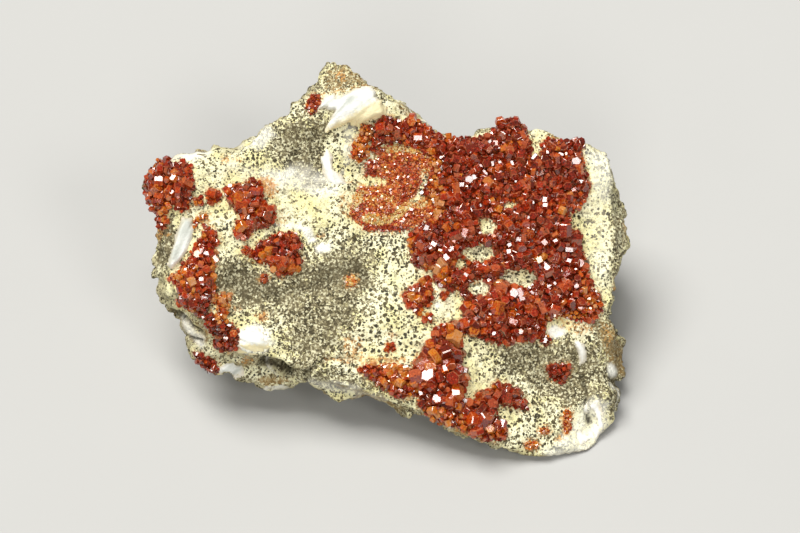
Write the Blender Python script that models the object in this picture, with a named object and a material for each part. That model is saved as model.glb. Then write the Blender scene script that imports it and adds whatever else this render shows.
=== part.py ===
"""Vanadinite on matrix: a broken block of speckled cream rock lying on its flat underside, its
leaning face strewn with red druses of short six-sided crystals and with white barite blades.

The origin is on the flat resting face. +X runs to the right along the block's long side, the
leaning face looks towards -Y and up, and +Z is up. Sizes below are in millimetres.
"""

import math
import random

import bmesh
import bpy
from mathutils import Matrix, Vector, noise
from mathutils.bvhtree import BVHTree

MM = 0.001

# The leaning face has its own frame: u across, v up the slope, w out of the face.
FACE_CENTRE = (0.0, -8.0, 23.5)
FACE_TILT = 31.0
FACE_ROLL = 8.0
FACE_SPIN = 5.2

# The edge of the leaning face, anticlockwise from the right-hand corner, as (u, v).
FACE_EDGE = (
    (43.4, 23.4), (39.5, 24.8), (34.0, 25.8), (30.5, 26.8), (26.5, 26.6), (22.5, 28.6),
    (19.0, 27.2), (14.0, 26.0), (10.5, 26.2), (8.5, 27.6), (5.0, 29.6), (1.4, 32.2),
    (-1.6, 34.8), (-4.2, 37.8), (-6.5, 40.2), (-8.8, 39.8), (-11.2, 38.6), (-13.8, 35.2),
    (-16.6, 31.8), (-19.0, 29.6), (-22.4, 28.0), (-24.4, 26.0), (-27.4, 23.8), (-30.5, 23.2),
    (-35.5, 23.8), (-39.4, 23.4), (-41.8, 21.0), (-43.4, 18.0), (-43.9, 14.0), (-43.2, 10.0),
    (-42.4, 3.0), (-41.3, -2.0), (-39.0, -5.5), (-36.0, -7.5), (-32.0, -11.0), (-30.0, -14.5),
    (-24.0, -16.4), (-19.0, -17.6), (-15.0, -20.0), (-8.0, -22.6), (-2.0, -24.2), (5.0, -27.2),
    (10.0, -30.2), (18.0, -32.2), (23.5, -34.4), (29.0, -35.4), (36.0, -33.6), (40.0, -29.6),
    (41.5, -20.0), (42.4, -11.0), (43.0, 0.0), (43.8, 6.0), (44.2, 16.0),
)

# How far the side walls stand out past the face edge, as (direction in degrees, distance).
WALL_FLARE = (
    (0, 3.6), (12, 4.4), (24, 2.0), (32, 0.6), (66, 0.4), (76, 1.8), (92, 1.6), (101, 0.6),
    (115, 0.2), (150, 0.2), (160, 0.6), (171, 0.9), (182, 1.0), (190, 2.8), (198, 5.6),
    (206, 6.0), (216, 4.8), (226, 4.0), (233, 0.9), (243, 0.1), (300, 0.6), (312, 1.2),
    (322, 3.0), (332, 4.8), (340, 4.2), (350, 3.0),
)
FLARE_DEPTH = 7.0
EDGE_DROP = 1.1

# Lumps (+) and hollows (-) of the leaning face: u, v, half-width, half-height, rise.
FACE_RELIEF = (
    (22.0, 6.0, 15.0, 15.0, 2.4),
    (1.0, 15.5, 7.5, 6.5, -2.2),
    (-3.0, 31.0, 9.0, 4.0, 2.2),
    (-40.0, 14.0, 6.0, 7.0, 1.4),
    (-27.0, 12.0, 9.0, 6.0, 1.0),
    (-15.0, 21.0, 6.0, 5.0, -1.5),
    (-15.0, -5.0, 12.0, 7.0, -1.6),
    (-4.0, -1.0, 3.0, 2.5, -1.1),
    (-34.5, -2.0, 4.0, 9.0, 1.4),
    (-38.5, 5.0, 2.2, 5.0, -1.2),
    (3.0, -10.0, 8.0, 6.0, 1.0),
    (10.0, -20.0, 5.0, 9.0, 2.0),
    (29.0, -20.0, 8.0, 6.0, -1.6),
    (39.0, 12.0, 3.0, 14.0, -0.8),
    (38.0, -29.0, 4.0, 4.0, -1.6),
)

# The outline of the underside on the table, as (x, y) about its own centre.
BASE_CENTRE = (3.0, -3.0)
BASE_OUTLINE = (
    (36.0, -11.0), (35.0, 6.0), (29.0, 15.0), (13.0, 21.0), (-2.0, 26.0), (-16.0, 26.0),
    (-29.0, 20.0), (-35.0, 12.0), (-36.0, 2.0), (-29.0, -8.0), (-17.0, -9.0), (-7.0, -12.0),
    (4.0, -18.0), (13.0, -24.0), (22.0, -29.5), (31.0, -26.0),
)
BASE_LIP = 1.6
BASE_SINK = 1.2
FLAT_SHARE = 0.86

RING_POINTS = 144
FACE_RINGS = 14
FLARE_RINGS = 4
WALL_RINGS = 10
VOXEL = 1.0
# Broken facets of the walls: size, step from one to the next, and lean of each.
FACETS = ((11.0, 0.95, 0.17), (5.2, 0.4, 0.12))
LEDGE_HEIGHT = 5.2
LEDGE_STEP = 0.9
# Lumps and pits: size, height, and how much of it the leaning face takes.
GRAINS = ((9.0, 0.8, 0.8), (3.2, 0.32, 1.0))
MATRIX_TRIANGLES = 3100

# What touches keeps this gap. Beds of crystals and plates of barite rise this far over the rock.
GAP = 0.3
BED_TOP = 1.05
PLATE_TOP = 1.7
BED_REACH = 6.0
BED_TRIANGLES = 3000
LOWEST = 0.8

# Crystals: across corners, height against width, and their spacing against width.
CRYSTAL_SPACING = 1.0
CRYSTAL_HEIGHTS = (0.65, 1.0)
CRYSTAL_LEAN = 62.0
CRYSTAL_LIFT = 0.12

VANADINITE = ("vanadinite", (0.42, 0.045, 0.018), 0.16)
AMBER = ("amber_vanadinite", (0.58, 0.19, 0.03), 0.2)
BARITE = ("barite", (0.86, 0.87, 0.85), 0.4)
ROCK = ("speckled_rock", (0.62, 0.58, 0.44), 0.9)

# The sugary pocket in the field's upper left: two shallow lobes lined with tiny crystals.
POCKET = (
    (-1.0, 22.6), (2.6, 23.2), (6.2, 22.4), (8.0, 20.4), (8.2, 17.4), (6.4, 14.4), (8.2, 11.6),
    (7.0, 8.8), (3.0, 7.6), (-3.4, 7.8), (-6.4, 10.2), (-5.2, 13.8), (-3.0, 16.4), (-3.0, 19.6),
)
POCKET_CRYSTAL = 2.7
POCKET_SHRINK = 0.3

# Druses: name, material, crystal width, outline as (u, v), and windows where the rock shows.
DRUSES = (
    ("vanadinite_field", VANADINITE, 4.0, (
        (-5.0, 26.6), (-3.0, 26.9), (-1.0, 28.3), (1.0, 29.0), (5.0, 27.2), (9.0, 24.6),
        (14.0, 23.8), (19.0, 24.2), (19.6, 27.0), (22.5, 28.2), (25.6, 27.4), (25.8, 24.0),
        (29.5, 21.5), (31.0, 24.0), (36.4, 23.8), (37.6, 16.0), (37.0, 12.0), (34.2, 10.2),
        (36.2, 6.5), (37.4, 0.0), (39.3, -6.0), (38.4, -9.4), (33.0, -8.8), (30.6, -10.8),
        (30.4, -13.4), (28.4, -13.2), (25.4, -11.6), (22.5, -13.6), (14.8, -11.5), (14.6, -6.4),
        (15.0, -3.2), (11.0, -3.2), (8.8, -0.6), (5.0, 1.2), (4.4, 5.6), (3.0, 7.0), (-4.0, 7.2),
        (-7.0, 10.2), (-5.2, 14.2), (-3.4, 17.0), (-4.2, 19.4), (-6.4, 21.4),
    ), (
        ((12.6, 0.8), (16.0, 1.2), (20.4, 2.6), (20.2, 3.9), (15.4, 4.8)),
        ((20.8, -1.2), (24.2, -2.2), (24.2, -4.2), (27.4, -1.6), (24.0, 0.0)),
    )),
    ("vanadinite_left_corner", VANADINITE, 3.2, (
        (-42.2, 18.6), (-40.2, 20.3), (-37.4, 19.8), (-36.0, 17.0), (-36.4, 12.0), (-39.0, 10.4),
        (-41.0, 8.6), (-42.6, 9.6), (-43.2, 13.0), (-43.2, 16.0),
    ), ()),
    ("vanadinite_rosette_upper_left", VANADINITE, 3.0, (
        (-29.8, 14.6), (-27.4, 16.0), (-23.2, 16.2), (-22.6, 12.6), (-20.6, 11.0), (-21.0, 8.8),
        (-23.6, 8.0), (-25.8, 5.9), (-28.0, 7.2), (-27.0, 10.6),
    ), ()),
    ("vanadinite_rosette_mid_left", VANADINITE, 3.0, (
        (-26.4, 3.5), (-24.0, 3.4), (-21.0, 6.6), (-16.8, 6.6), (-15.8, 3.0), (-16.6, 0.6),
        (-19.4, -1.2), (-21.6, 1.0), (-25.2, 1.4),
    ), ()),
    ("vanadinite_band_left", VANADINITE, 3.5, (
        (-33.4, 8.2), (-31.0, 5.6), (-31.6, 1.0), (-32.0, -3.4), (-29.2, -4.8), (-30.4, -9.0),
        (-27.6, -12.0), (-27.8, -14.6), (-30.6, -14.6), (-32.0, -11.0), (-35.4, -7.4),
        (-38.6, -6.0), (-38.4, -3.4), (-39.8, -1.6), (-36.2, 0.6), (-34.6, 5.0),
    ), ()),
    ("vanadinite_patch_wall_left", VANADINITE, 2.6, (
        (-35.6, -14.2), (-33.4, -14.8), (-32.0, -16.0), (-31.8, -17.8), (-32.8, -18.8),
        (-34.4, -17.4),
    ), ()),
    ("vanadinite_island", VANADINITE, 2.8, (
        (3.0, -4.6), (5.0, -3.4), (6.6, -1.2), (8.4, -1.8), (9.2, -4.0), (8.2, -6.8), (6.4, -8.6),
        (3.8, -6.6),
    ), ()),
    ("vanadinite_band_lower", VANADINITE, 4.2, (
        (9.4, -12.2), (11.0, -10.6), (13.4, -12.6), (14.4, -16.0), (15.2, -19.6), (14.4, -24.0),
        (17.0, -22.2), (20.4, -22.2), (22.2, -20.8), (26.6, -25.2), (25.0, -26.2), (20.4, -25.2),
        (22.8, -30.6), (20.0, -30.6), (9.2, -27.8), (5.4, -23.6), (1.0, -22.4), (-2.2, -21.0),
        (-4.8, -18.4), (0.0, -16.8), (5.2, -17.8), (7.4, -15.2),
    ), ()),
    ("vanadinite_button_right", VANADINITE, 2.4, (
        (30.4, -18.4), (31.6, -17.8), (34.2, -17.8), (34.4, -19.2), (32.6, -21.0), (30.8, -20.2),
    ), ()),
    ("vanadinite_tuft_peak", VANADINITE, 1.8, (
        (-14.5, 31.0), (-13.2, 32.4), (-12.3, 32.2), (-13.2, 29.6), (-14.4, 29.4),
    ), ()),
    ("amber_crystals_centre", AMBER, 1.8, (
        (-7.6, -1.4), (-6.4, -0.9), (-5.2, -1.6), (-5.6, -3.0), (-6.8, -3.0),
    ), ()),
)

# Barite: name, outline as (u, v), and height of the plate's left and right end over the rock.
BARITES = (
    ("barite_blade_peak", (
        (-12.0, 30.2), (-9.0, 32.4), (-5.6, 34.0), (-2.6, 34.2), (-0.4, 30.6), (-1.6, 28.6),
        (-6.0, 27.5), (-10.8, 26.0), (-9.8, 28.8),
    ), 2.2, 3.0),
    ("barite_blade_middle", (
        (-11.7, 20.6), (-10.6, 22.4), (-10.2, 19.4), (-7.6, 17.6), (-8.2, 15.8), (-11.4, 15.4),
    ), 1.2, 0.8),
    ("barite_blade_left", (
        (-38.2, 9.6), (-36.0, 9.6), (-36.0, 4.8), (-37.6, 1.6), (-39.4, 0.8), (-39.8, 3.0),
    ), 1.6, 1.0),
    ("barite_patch_lower_left", (
        (-26.0, -11.2), (-23.0, -11.0), (-22.2, -14.6), (-25.0, -15.8), (-26.6, -14.6),
    ), 1.2, 0.8),
    ("barite_sliver_right", (
        (35.2, -14.0), (36.4, -13.6), (37.2, -16.4), (36.6, -17.6), (35.8, -16.6),
    ), 1.0, 1.2),
    ("barite_crust_corner", (
        (37.2, -24.6), (38.8, -24.8), (38.2, -27.8), (36.6, -30.6), (34.8, -31.2), (35.4, -28.0),
    ), 0.9, 1.1),
)

# Rounded barite lump and the ledge of the wall that carries it, below the left of the face edge.
LUMP_CENTRE = (-27.6, -17.8, -4.6)
LUMP_RADII = (2.4, 2.0, 2.4)

SEED = 7


def face_frame():
    """The matrix from the leaning face's (u, v, w) to the object's axes, in millimetres."""
    return (
        Matrix.Translation(FACE_CENTRE)
        @ Matrix.Rotation(math.radians(FACE_ROLL), 4, "Y")
        @ Matrix.Rotation(math.radians(FACE_TILT), 4, "X")
        @ Matrix.Rotation(math.radians(FACE_SPIN), 4, "Z")
    )


FRAME = face_frame()
TO_FACE = FRAME.inverted()
OUT = (FRAME.to_3x3() @ Vector((0, 0, 1))).normalized()


def cross(a, b):
    """The z component of the cross product of two plane vectors."""
    return a[0] * b[1] - a[1] * b[0]


def reach(outline, angle):
    """How far a star-shaped outline lies from its centre along the ray at this angle."""
    ray = (math.cos(angle), math.sin(angle))
    best = 0.0
    for start, end in zip(outline, outline[1:] + outline[:1]):
        side = (end[0] - start[0], end[1] - start[1])
        turn = cross(ray, side)
        if abs(turn) < 1e-9:
            continue
        along_side = cross(start, ray) / turn
        along_ray = cross(start, side) / turn
        if -1e-6 <= along_side <= 1 + 1e-6 and along_ray > best:
            best = along_ray
    return best


def flare(angle):
    """How far the wall stands out past the face edge in this direction."""
    degrees = math.degrees(angle) % 360
    closed = WALL_FLARE + ((360, WALL_FLARE[0][1]),)
    for (from_deg, from_mm), (to_deg, to_mm) in zip(closed, closed[1:]):
        if from_deg <= degrees <= to_deg:
            share = (degrees - from_deg) / (to_deg - from_deg)
            return from_mm + (to_mm - from_mm) * share
    return 0.0


def relief(u, v):
    """Height of the leaning face over its mean plane."""
    return sum(
        rise * math.exp(-(((u - cu) / half_u) ** 2) - ((v - cv) / half_v) ** 2)
        for cu, cv, half_u, half_v, rise in FACE_RELIEF
    )


def smooth_step(low, high, value):
    """0 below low, 1 above high and smooth between."""
    share = min(1.0, max(0.0, (value - low) / (high - low)))
    return share * share * (3 - 2 * share)


def face_ring(share):
    """One ring of points on the leaning face, at this share of the way out to its edge."""
    ring = []
    for step in range(RING_POINTS):
        angle = 2 * math.pi * step / RING_POINTS
        distance = reach(FACE_EDGE, angle) * share
        u, v = distance * math.cos(angle), distance * math.sin(angle)
        drop = EDGE_DROP * smooth_step(0.9, 1.0, share)
        ring.append(FRAME @ Vector((u, v, relief(u, v) - drop)))
    return ring


def wall_rings():
    """Rings from the face edge out to the wall's widest line, then in and down to the base."""
    columns = []
    for step in range(RING_POINTS):
        angle = 2 * math.pi * step / RING_POINTS
        ray = Vector((math.cos(angle), math.sin(angle), 0))
        edge_at = reach(FACE_EDGE, angle)
        edge = ray * edge_at
        edge.z = relief(edge.x, edge.y) - EDGE_DROP
        room = (FRAME @ edge).z / OUT.z
        widest = ray * (edge_at + flare(angle))
        widest.z = edge.z - min(FLARE_DEPTH, 0.45 * room)
        edge, widest = FRAME @ edge, FRAME @ widest
        base_at = reach(BASE_OUTLINE, angle)
        base = Vector(BASE_CENTRE + (0.0,)) + ray * base_at
        base.z = min(BASE_LIP, 0.5 * edge.z)
        column = [
            edge.lerp(widest, math.sin(math.pi / 2 * k / FLARE_RINGS))
            for k in range(1, FLARE_RINGS + 1)
        ]
        column += [widest.lerp(base, k / WALL_RINGS) for k in range(1, WALL_RINGS + 1)]
        columns.append(column)
    return [list(ring) for ring in zip(*columns)]


def base_ring(share):
    """One ring of the underside, which bulges just below the table and is cut flat later."""
    ring = []
    for step in range(RING_POINTS):
        angle = 2 * math.pi * step / RING_POINTS
        ray = Vector((math.cos(angle), math.sin(angle), 0))
        ring.append(Vector(BASE_CENTRE + (-BASE_SINK,)) + ray * reach(BASE_OUTLINE, angle) * share)
    return ring


def lofted_block():
    """The block before it is fractured: a closed mesh through all the rings, in metres."""
    rings = [face_ring(k / FACE_RINGS) for k in range(1, FACE_RINGS + 1)]
    rings += wall_rings()
    rings += [base_ring(FLAT_SHARE), base_ring(0.5), base_ring(0.2)]
    shape = bmesh.new()
    top = shape.verts.new((FRAME @ Vector((0, 0, relief(0, 0)))) * MM)
    loops = [[shape.verts.new(p * MM) for p in ring] for ring in rings]
    bottom = shape.verts.new(Vector(BASE_CENTRE + (-BASE_SINK,)) * MM)
    for k in range(RING_POINTS):
        after = (k + 1) % RING_POINTS
        shape.faces.new((top, loops[0][k], loops[0][after]))
        for upper, lower in zip(loops, loops[1:]):
            shape.faces.new((upper[k], lower[k], lower[after], upper[after]))
        shape.faces.new((loops[-1][k], bottom, loops[-1][after]))
    bmesh.ops.recalc_face_normals(shape, faces=shape.faces)
    mesh = bpy.data.meshes.new("block")
    shape.to_mesh(mesh)
    shape.free()
    return mesh


def facet_rise(point):
    """Height of the broken facets that hold this point: each facet is a leaning plane."""
    rise = 0.0
    for size, step, lean in FACETS:
        _, centres = noise.voronoi(point / size)
        centre = centres[0]
        slope = noise.cell_vector(centre * 5.3) - Vector((0.5, 0.5, 0.5))
        rise += step * (noise.cell(centre * 9.1) * 2 - 1)
        rise += 2 * lean * slope.dot(point - centre * size)
    return rise


def ledge_rise(point):
    """Ledges that run round the walls, roughly level with the leaning face."""
    depth = (TO_FACE @ point).z + 3.0 * noise.noise(point / 14.0)
    saw = (depth / LEDGE_HEIGHT) % 1.0
    return LEDGE_STEP * (smooth_step(0.0, 0.25, saw) - saw)


def fracture(mesh):
    """Moves the vertices along their normals, so that walls break in facets and ledges."""
    moves = []
    for vertex in mesh.vertices:
        point = vertex.co / MM
        wall = 1 - smooth_step(0.4, 0.8, vertex.normal.dot(OUT))
        rough = wall * (facet_rise(point) + ledge_rise(point))
        for size, height, face_share in GRAINS:
            share = face_share + (0.35 - face_share) * wall
            rough += noise.noise(point / size) * 2 * height * share
        moves.append(vertex.normal * rough * MM * smooth_step(0.0, 3.0, point.z))
    for vertex, move in zip(mesh.vertices, moves):
        vertex.co += move


def evaluated(obj):
    """A new mesh of the object with its modifiers applied."""
    bpy.context.view_layer.update()
    graph = bpy.context.evaluated_depsgraph_get()
    return bpy.data.meshes.new_from_object(obj.evaluated_get(graph))


def placed(name, mesh):
    """A new object in the scene."""
    obj = bpy.data.objects.new(name, mesh)
    bpy.context.scene.collection.objects.link(obj)
    return obj


def bake_modifiers(obj):
    """Replaces the object's mesh by what its modifiers make of it."""
    mesh = evaluated(obj)
    obj.modifiers.clear()
    obj.data = mesh


def as_cutter(obj):
    """Marks a helper, which isn't a piece of the object."""
    obj.hide_render = True
    obj.display_type = "WIRE"
    return obj


def boolean(obj, operation, other, joined=False):
    """One exact Boolean step, applied. joined says that the operands hold overlapping shells."""
    step = obj.modifiers.new(operation.lower(), "BOOLEAN")
    step.operation = operation
    step.solver = "EXACT"
    step.object = other
    step.use_self = joined
    bake_modifiers(obj)


def surface(obj, material):
    """Gives a piece its material, made once for each name."""
    name, colour, roughness = material
    made = bpy.data.materials.get(name) or bpy.data.materials.new(name)
    made.use_nodes = True
    shader = made.node_tree.nodes["Principled BSDF"]
    shader.inputs["Base Color"].default_value = (*colour, 1)
    shader.inputs["Roughness"].default_value = roughness
    shader.inputs["Metallic"].default_value = 0.0
    obj.data.materials.clear()
    obj.data.materials.append(made)


def block_below(name, height):
    """A helper: a block that reaches down from this height in millimetres."""
    shape = bmesh.new()
    middle = Matrix.Translation((0, 0, height * MM - 0.1))
    bmesh.ops.create_cube(shape, size=0.2, matrix=middle)
    mesh = bpy.data.meshes.new(name)
    shape.to_mesh(mesh)
    shape.free()
    return as_cutter(placed(name, mesh))


def even_out(obj):
    """Rebuilds the surface with small faces of one size."""
    remesh = obj.modifiers.new("even", "REMESH")
    remesh.mode = "VOXEL"
    remesh.voxel_size = VOXEL * MM
    bake_modifiers(obj)


def thin_out(obj, triangles):
    """Reduces the mesh to about this many triangles."""
    present = sum(len(face.vertices) - 2 for face in obj.data.polygons)
    thin = obj.modifiers.new("thin", "DECIMATE")
    thin.ratio = triangles / present
    bake_modifiers(obj)


def make_matrix():
    """The rock: lofted, remeshed evenly, fractured, thinned out and cut flat to rest on."""
    rock = placed("matrix", lofted_block())
    even_out(rock)
    fracture(rock.data)
    thin_out(rock, MATRIX_TRIANGLES)
    boolean(rock, "DIFFERENCE", block_below("below_table", 0))
    surface(rock, ROCK)
    return rock


def offset_copy(rock, name, distance):
    """A helper: the rock grown evenly by this distance in millimetres."""
    shape = bmesh.new()
    shape.from_mesh(rock.data)
    shape.normal_update()
    moves = [v.normal * min(2.0, v.calc_shell_factor()) * distance * MM for v in shape.verts]
    for vertex, move in zip(shape.verts, moves):
        vertex.co += move
    mesh = bpy.data.meshes.new(name)
    shape.to_mesh(mesh)
    shape.free()
    return as_cutter(placed(name, mesh))


def grown_copy(rock, name, distance):
    """A helper: the rock grown by this distance, rebuilt so that it nowhere crosses itself."""
    grown = offset_copy(rock, name, distance)
    even_out(grown)
    thin_out(grown, BED_TRIANGLES)
    return grown


def outline_prism(name, outline, low, high, lean=0.0):
    """A column over an outline on the face, from w = low up to w = high, leaning along u."""
    middle = sum(p[0] for p in outline) / len(outline)
    shape = bmesh.new()
    lower = [shape.verts.new((FRAME @ Vector((u, v, low))) * MM) for u, v in outline]
    upper = [
        shape.verts.new((FRAME @ Vector((u, v, high + lean * (u - middle)))) * MM)
        for u, v in outline
    ]
    shape.faces.new(lower)
    shape.faces.new(upper)
    for k, after in zip(range(len(outline)), (*range(1, len(outline)), 0)):
        shape.faces.new((lower[k], lower[after], upper[after], upper[k]))
    bmesh.ops.recalc_face_normals(shape, faces=shape.faces)
    mesh = bpy.data.meshes.new(name)
    shape.to_mesh(mesh)
    shape.free()
    return placed(name, mesh)


def largest_shell(obj):
    """Keeps the piece's largest connected body and drops crumbs that a Boolean left."""
    shape = bmesh.new()
    shape.from_mesh(obj.data)
    left, shells = set(shape.verts), []
    while left:
        front, shell = [left.pop()], set()
        while front:
            vertex = front.pop()
            shell.add(vertex)
            for edge in vertex.link_edges:
                other = edge.other_vert(vertex)
                if other in left:
                    left.remove(other)
                    front.append(other)
        shells.append(shell)
    shells.sort(key=len)
    for shell in shells[:-1]:
        bmesh.ops.delete(shape, geom=list(shell), context="VERTS")
    shape.to_mesh(obj.data)
    shape.free()


def inside(outline, u, v):
    """Whether a point of the face lies within an outline."""
    found = False
    for (au, av), (bu, bv) in zip(outline, outline[1:] + outline[:1]):
        if (av > v) != (bv > v) and u < (bu - au) * (v - av) / (bv - av) + au:
            found = not found
    return found


def edge_distance(outline, u, v):
    """How far a point of the face lies from an outline's nearest side."""
    nearest = math.inf
    for (au, av), (bu, bv) in zip(outline, outline[1:] + outline[:1]):
        su, sv = bu - au, bv - av
        share = ((u - au) * su + (v - av) * sv) / (su * su + sv * sv)
        share = min(1.0, max(0.0, share))
        nearest = min(nearest, math.hypot(u - au - share * su, v - av - share * sv))
    return nearest


def crystal_spots(outline, windows, width, chance):
    """Seats for crystals: evenly strewn over the outline, off its edge and off the windows."""
    spots, misses = [], 0
    us, vs = [p[0] for p in outline], [p[1] for p in outline]
    spacing, inset = width * CRYSTAL_SPACING, width * 0.34
    while misses < 900:
        u, v = chance.uniform(min(us), max(us)), chance.uniform(min(vs), max(vs))
        clear = inside(outline, u, v) and edge_distance(outline, u, v) > inset
        clear = clear and not any(
            inside(w, u, v) or edge_distance(w, u, v) < inset for w in windows
        )
        if clear and all(math.hypot(u - a, v - b) > spacing for a, b in spots):
            spots.append((u, v))
            misses = 0
        else:
            misses += 1
    if not spots:
        spots.append((sum(us) / len(us), sum(vs) / len(vs)))
    return spots


def rock_point(tree, u, v):
    """Where a line square to the leaning face meets the rock, with the rock's normal there."""
    start = (FRAME @ Vector((u, v, 15))) * MM
    point, normal, _, _ = tree.ray_cast(start, -OUT)
    if point is None:
        point, normal, _, _ = tree.find_nearest((FRAME @ Vector((u, v, 0))) * MM)
    return point, normal


def strewn_crystals(name, tree, spots, width, chance):
    """Short six-sided crystals on these seats, each leaning its own way, in one mesh."""
    shape = bmesh.new()
    for u, v in spots:
        point, normal = rock_point(tree, u, v)
        if point is None:
            continue
        across = width * chance.uniform(0.86, 1.14)
        height = across * chance.uniform(*CRYSTAL_HEIGHTS)
        lean = math.radians(CRYSTAL_LEAN) * math.sqrt(chance.random())
        turn = Matrix.Rotation(chance.uniform(0, 2 * math.pi), 4, "Z")
        tip = Matrix.Rotation(lean, 4, "X")
        spin = Matrix.Rotation(chance.uniform(0, math.pi / 3), 4, "Z")
        stand = normal.to_track_quat("Z", "Y").to_matrix().to_4x4()
        middle = point + normal * CRYSTAL_LIFT * across * MM
        bmesh.ops.create_cone(
            shape,
            cap_ends=True,
            segments=6,
            radius1=across / 2 * MM,
            radius2=across / 2 * MM,
            depth=height * MM,
            matrix=Matrix.Translation(middle) @ stand @ turn @ tip @ spin,
        )
    mesh = bpy.data.meshes.new(name)
    shape.to_mesh(mesh)
    shape.free()
    return as_cutter(placed(name, mesh))


def finish(piece, material, rock):
    """Cuts the piece clear of the rock and of the table, and gives it its material."""
    boolean(piece, "DIFFERENCE", rock["clearance"])
    boolean(piece, "DIFFERENCE", rock["low"])
    largest_shell(piece)
    surface(piece, material)
    return piece


def face_level(rock, spots):
    """The mean height w of the rock under these points of the leaning face."""
    heights = [(TO_FACE @ (rock_point(rock["tree"], u, v)[0] / MM)).z for u, v in spots]
    return sum(heights) / len(heights)


def make_druse(name, material, width, outline, windows, rock):
    """One druse: a bed that hugs the rock and the crystals grown on it, fused to one solid."""
    chance = random.Random(f"{name} {SEED}")
    spots = crystal_spots(outline, windows, width, chance)
    level = face_level(rock, spots)
    druse = outline_prism(name, outline, level - BED_REACH, level + BED_REACH)
    boolean(druse, "INTERSECT", rock["bed_top"])
    for window in windows:
        boolean(druse, "DIFFERENCE", window_cutter(window, level))
    crystals = strewn_crystals(f"{name}_crystals", rock["tree"], spots, width, chance)
    boolean(druse, "UNION", crystals, joined=True)
    return finish(druse, material, rock)


def window_cutter(window, level):
    """A column that cuts a window through a druse."""
    return as_cutter(outline_prism("window", window, level - 15, level + 15))


def trim(druse, operation, outline, rock):
    """Cuts a finished druse square along an outline, so that no crystal leans across it."""
    boolean(druse, operation, window_cutter(outline, face_level(rock, outline)))
    largest_shell(druse)


def shrunk(outline, distance):
    """An outline drawn in towards its middle by about this distance."""
    mid_u = sum(p[0] for p in outline) / len(outline)
    mid_v = sum(p[1] for p in outline) / len(outline)
    drawn = []
    for u, v in outline:
        share = 1 - distance / math.hypot(u - mid_u, v - mid_v)
        drawn.append((mid_u + (u - mid_u) * share, mid_v + (v - mid_v) * share))
    return tuple(drawn)


def make_barite(name, outline, left_rise, right_rise, rock):
    """A barite plate: it hugs the rock under a plain cleaved top, which may lean along u."""
    us = [p[0] for p in outline]
    level = face_level(rock, outline) + (left_rise + right_rise) / 2
    lean = (right_rise - left_rise) / (max(us) - min(us))
    plate = outline_prism(name, outline, level - BED_REACH, level, lean)
    boolean(plate, "INTERSECT", rock["plate_top"])
    return finish(plate, BARITE, rock)


def make_lump(rock):
    """The rounded barite lump that bulges from the wall under the left of the face edge."""
    shape = bmesh.new()
    bmesh.ops.create_icosphere(shape, subdivisions=2, radius=1.0)
    for vertex in shape.verts:
        swell = 1 + 0.12 * noise.noise(vertex.co * 1.7)
        local = Vector(c * r for c, r in zip(vertex.co * swell, LUMP_RADII))
        vertex.co = (FRAME @ (Vector(LUMP_CENTRE) + local)) * MM
    mesh = bpy.data.meshes.new("barite_lump_lower_left")
    shape.to_mesh(mesh)
    shape.free()
    return finish(placed("barite_lump_lower_left", mesh), BARITE, rock)


def main():
    """Clears the scene and builds the specimen."""
    for obj in list(bpy.data.objects):
        bpy.data.objects.remove(obj)
    matrix = make_matrix()
    rock = {
        "tree": BVHTree.FromPolygons(
            [v.co.copy() for v in matrix.data.vertices],
            [tuple(p.vertices) for p in matrix.data.polygons],
        ),
        "clearance": offset_copy(matrix, "rock_clearance", GAP),
        "bed_top": grown_copy(matrix, "bed_top", BED_TOP),
        "plate_top": grown_copy(matrix, "plate_top", PLATE_TOP),
        "low": block_below("close_to_table", LOWEST),
    }
    for name, material, width, outline, windows in DRUSES:
        druse = make_druse(name, material, width, outline, windows, rock)
        if name == "vanadinite_field":
            trim(druse, "DIFFERENCE", POCKET, rock)
    lining = shrunk(POCKET, POCKET_SHRINK)
    crust = make_druse("vanadinite_pocket_crust", AMBER, POCKET_CRYSTAL, lining, (), rock)
    trim(crust, "INTERSECT", lining, rock)
    for name, outline, left_rise, right_rise in BARITES:
        make_barite(name, outline, left_rise, right_rise, rock)
    make_lump(rock)


main()
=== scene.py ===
"""Vanadinite on matrix, dressed: a block of speckled cream rock with red druses, a sugary amber
pocket and white barite blades. All lengths in the classes are millimetres unless a name says
otherwise.
"""

import logging
import math
import random
from dataclasses import dataclass, field
from enum import Enum

import bmesh
import bpy
import numpy as np
from mathutils import Matrix, Vector
from mathutils.bvhtree import BVHTree


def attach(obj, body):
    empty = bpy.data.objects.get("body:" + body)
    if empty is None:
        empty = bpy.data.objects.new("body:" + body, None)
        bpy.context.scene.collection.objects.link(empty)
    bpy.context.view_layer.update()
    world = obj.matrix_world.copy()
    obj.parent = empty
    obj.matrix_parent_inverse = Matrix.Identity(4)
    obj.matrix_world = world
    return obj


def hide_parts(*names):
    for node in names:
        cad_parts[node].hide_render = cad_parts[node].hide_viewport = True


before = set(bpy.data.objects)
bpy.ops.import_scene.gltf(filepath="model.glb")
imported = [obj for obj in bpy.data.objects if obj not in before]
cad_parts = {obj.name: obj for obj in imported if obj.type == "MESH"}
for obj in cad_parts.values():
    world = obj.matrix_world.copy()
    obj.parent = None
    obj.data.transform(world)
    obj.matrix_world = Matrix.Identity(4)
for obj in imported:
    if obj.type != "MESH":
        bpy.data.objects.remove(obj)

MM = 0.001
SIGHT_SLACK = 1.2
LOG = logging.getLogger("specimen")
Outline = tuple[tuple[float, float], ...]
Crust = tuple[Outline, tuple[Outline, ...], float]


# ---------------------------------------------------------------------------------------------
# Numbers and noise
# ---------------------------------------------------------------------------------------------


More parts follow.
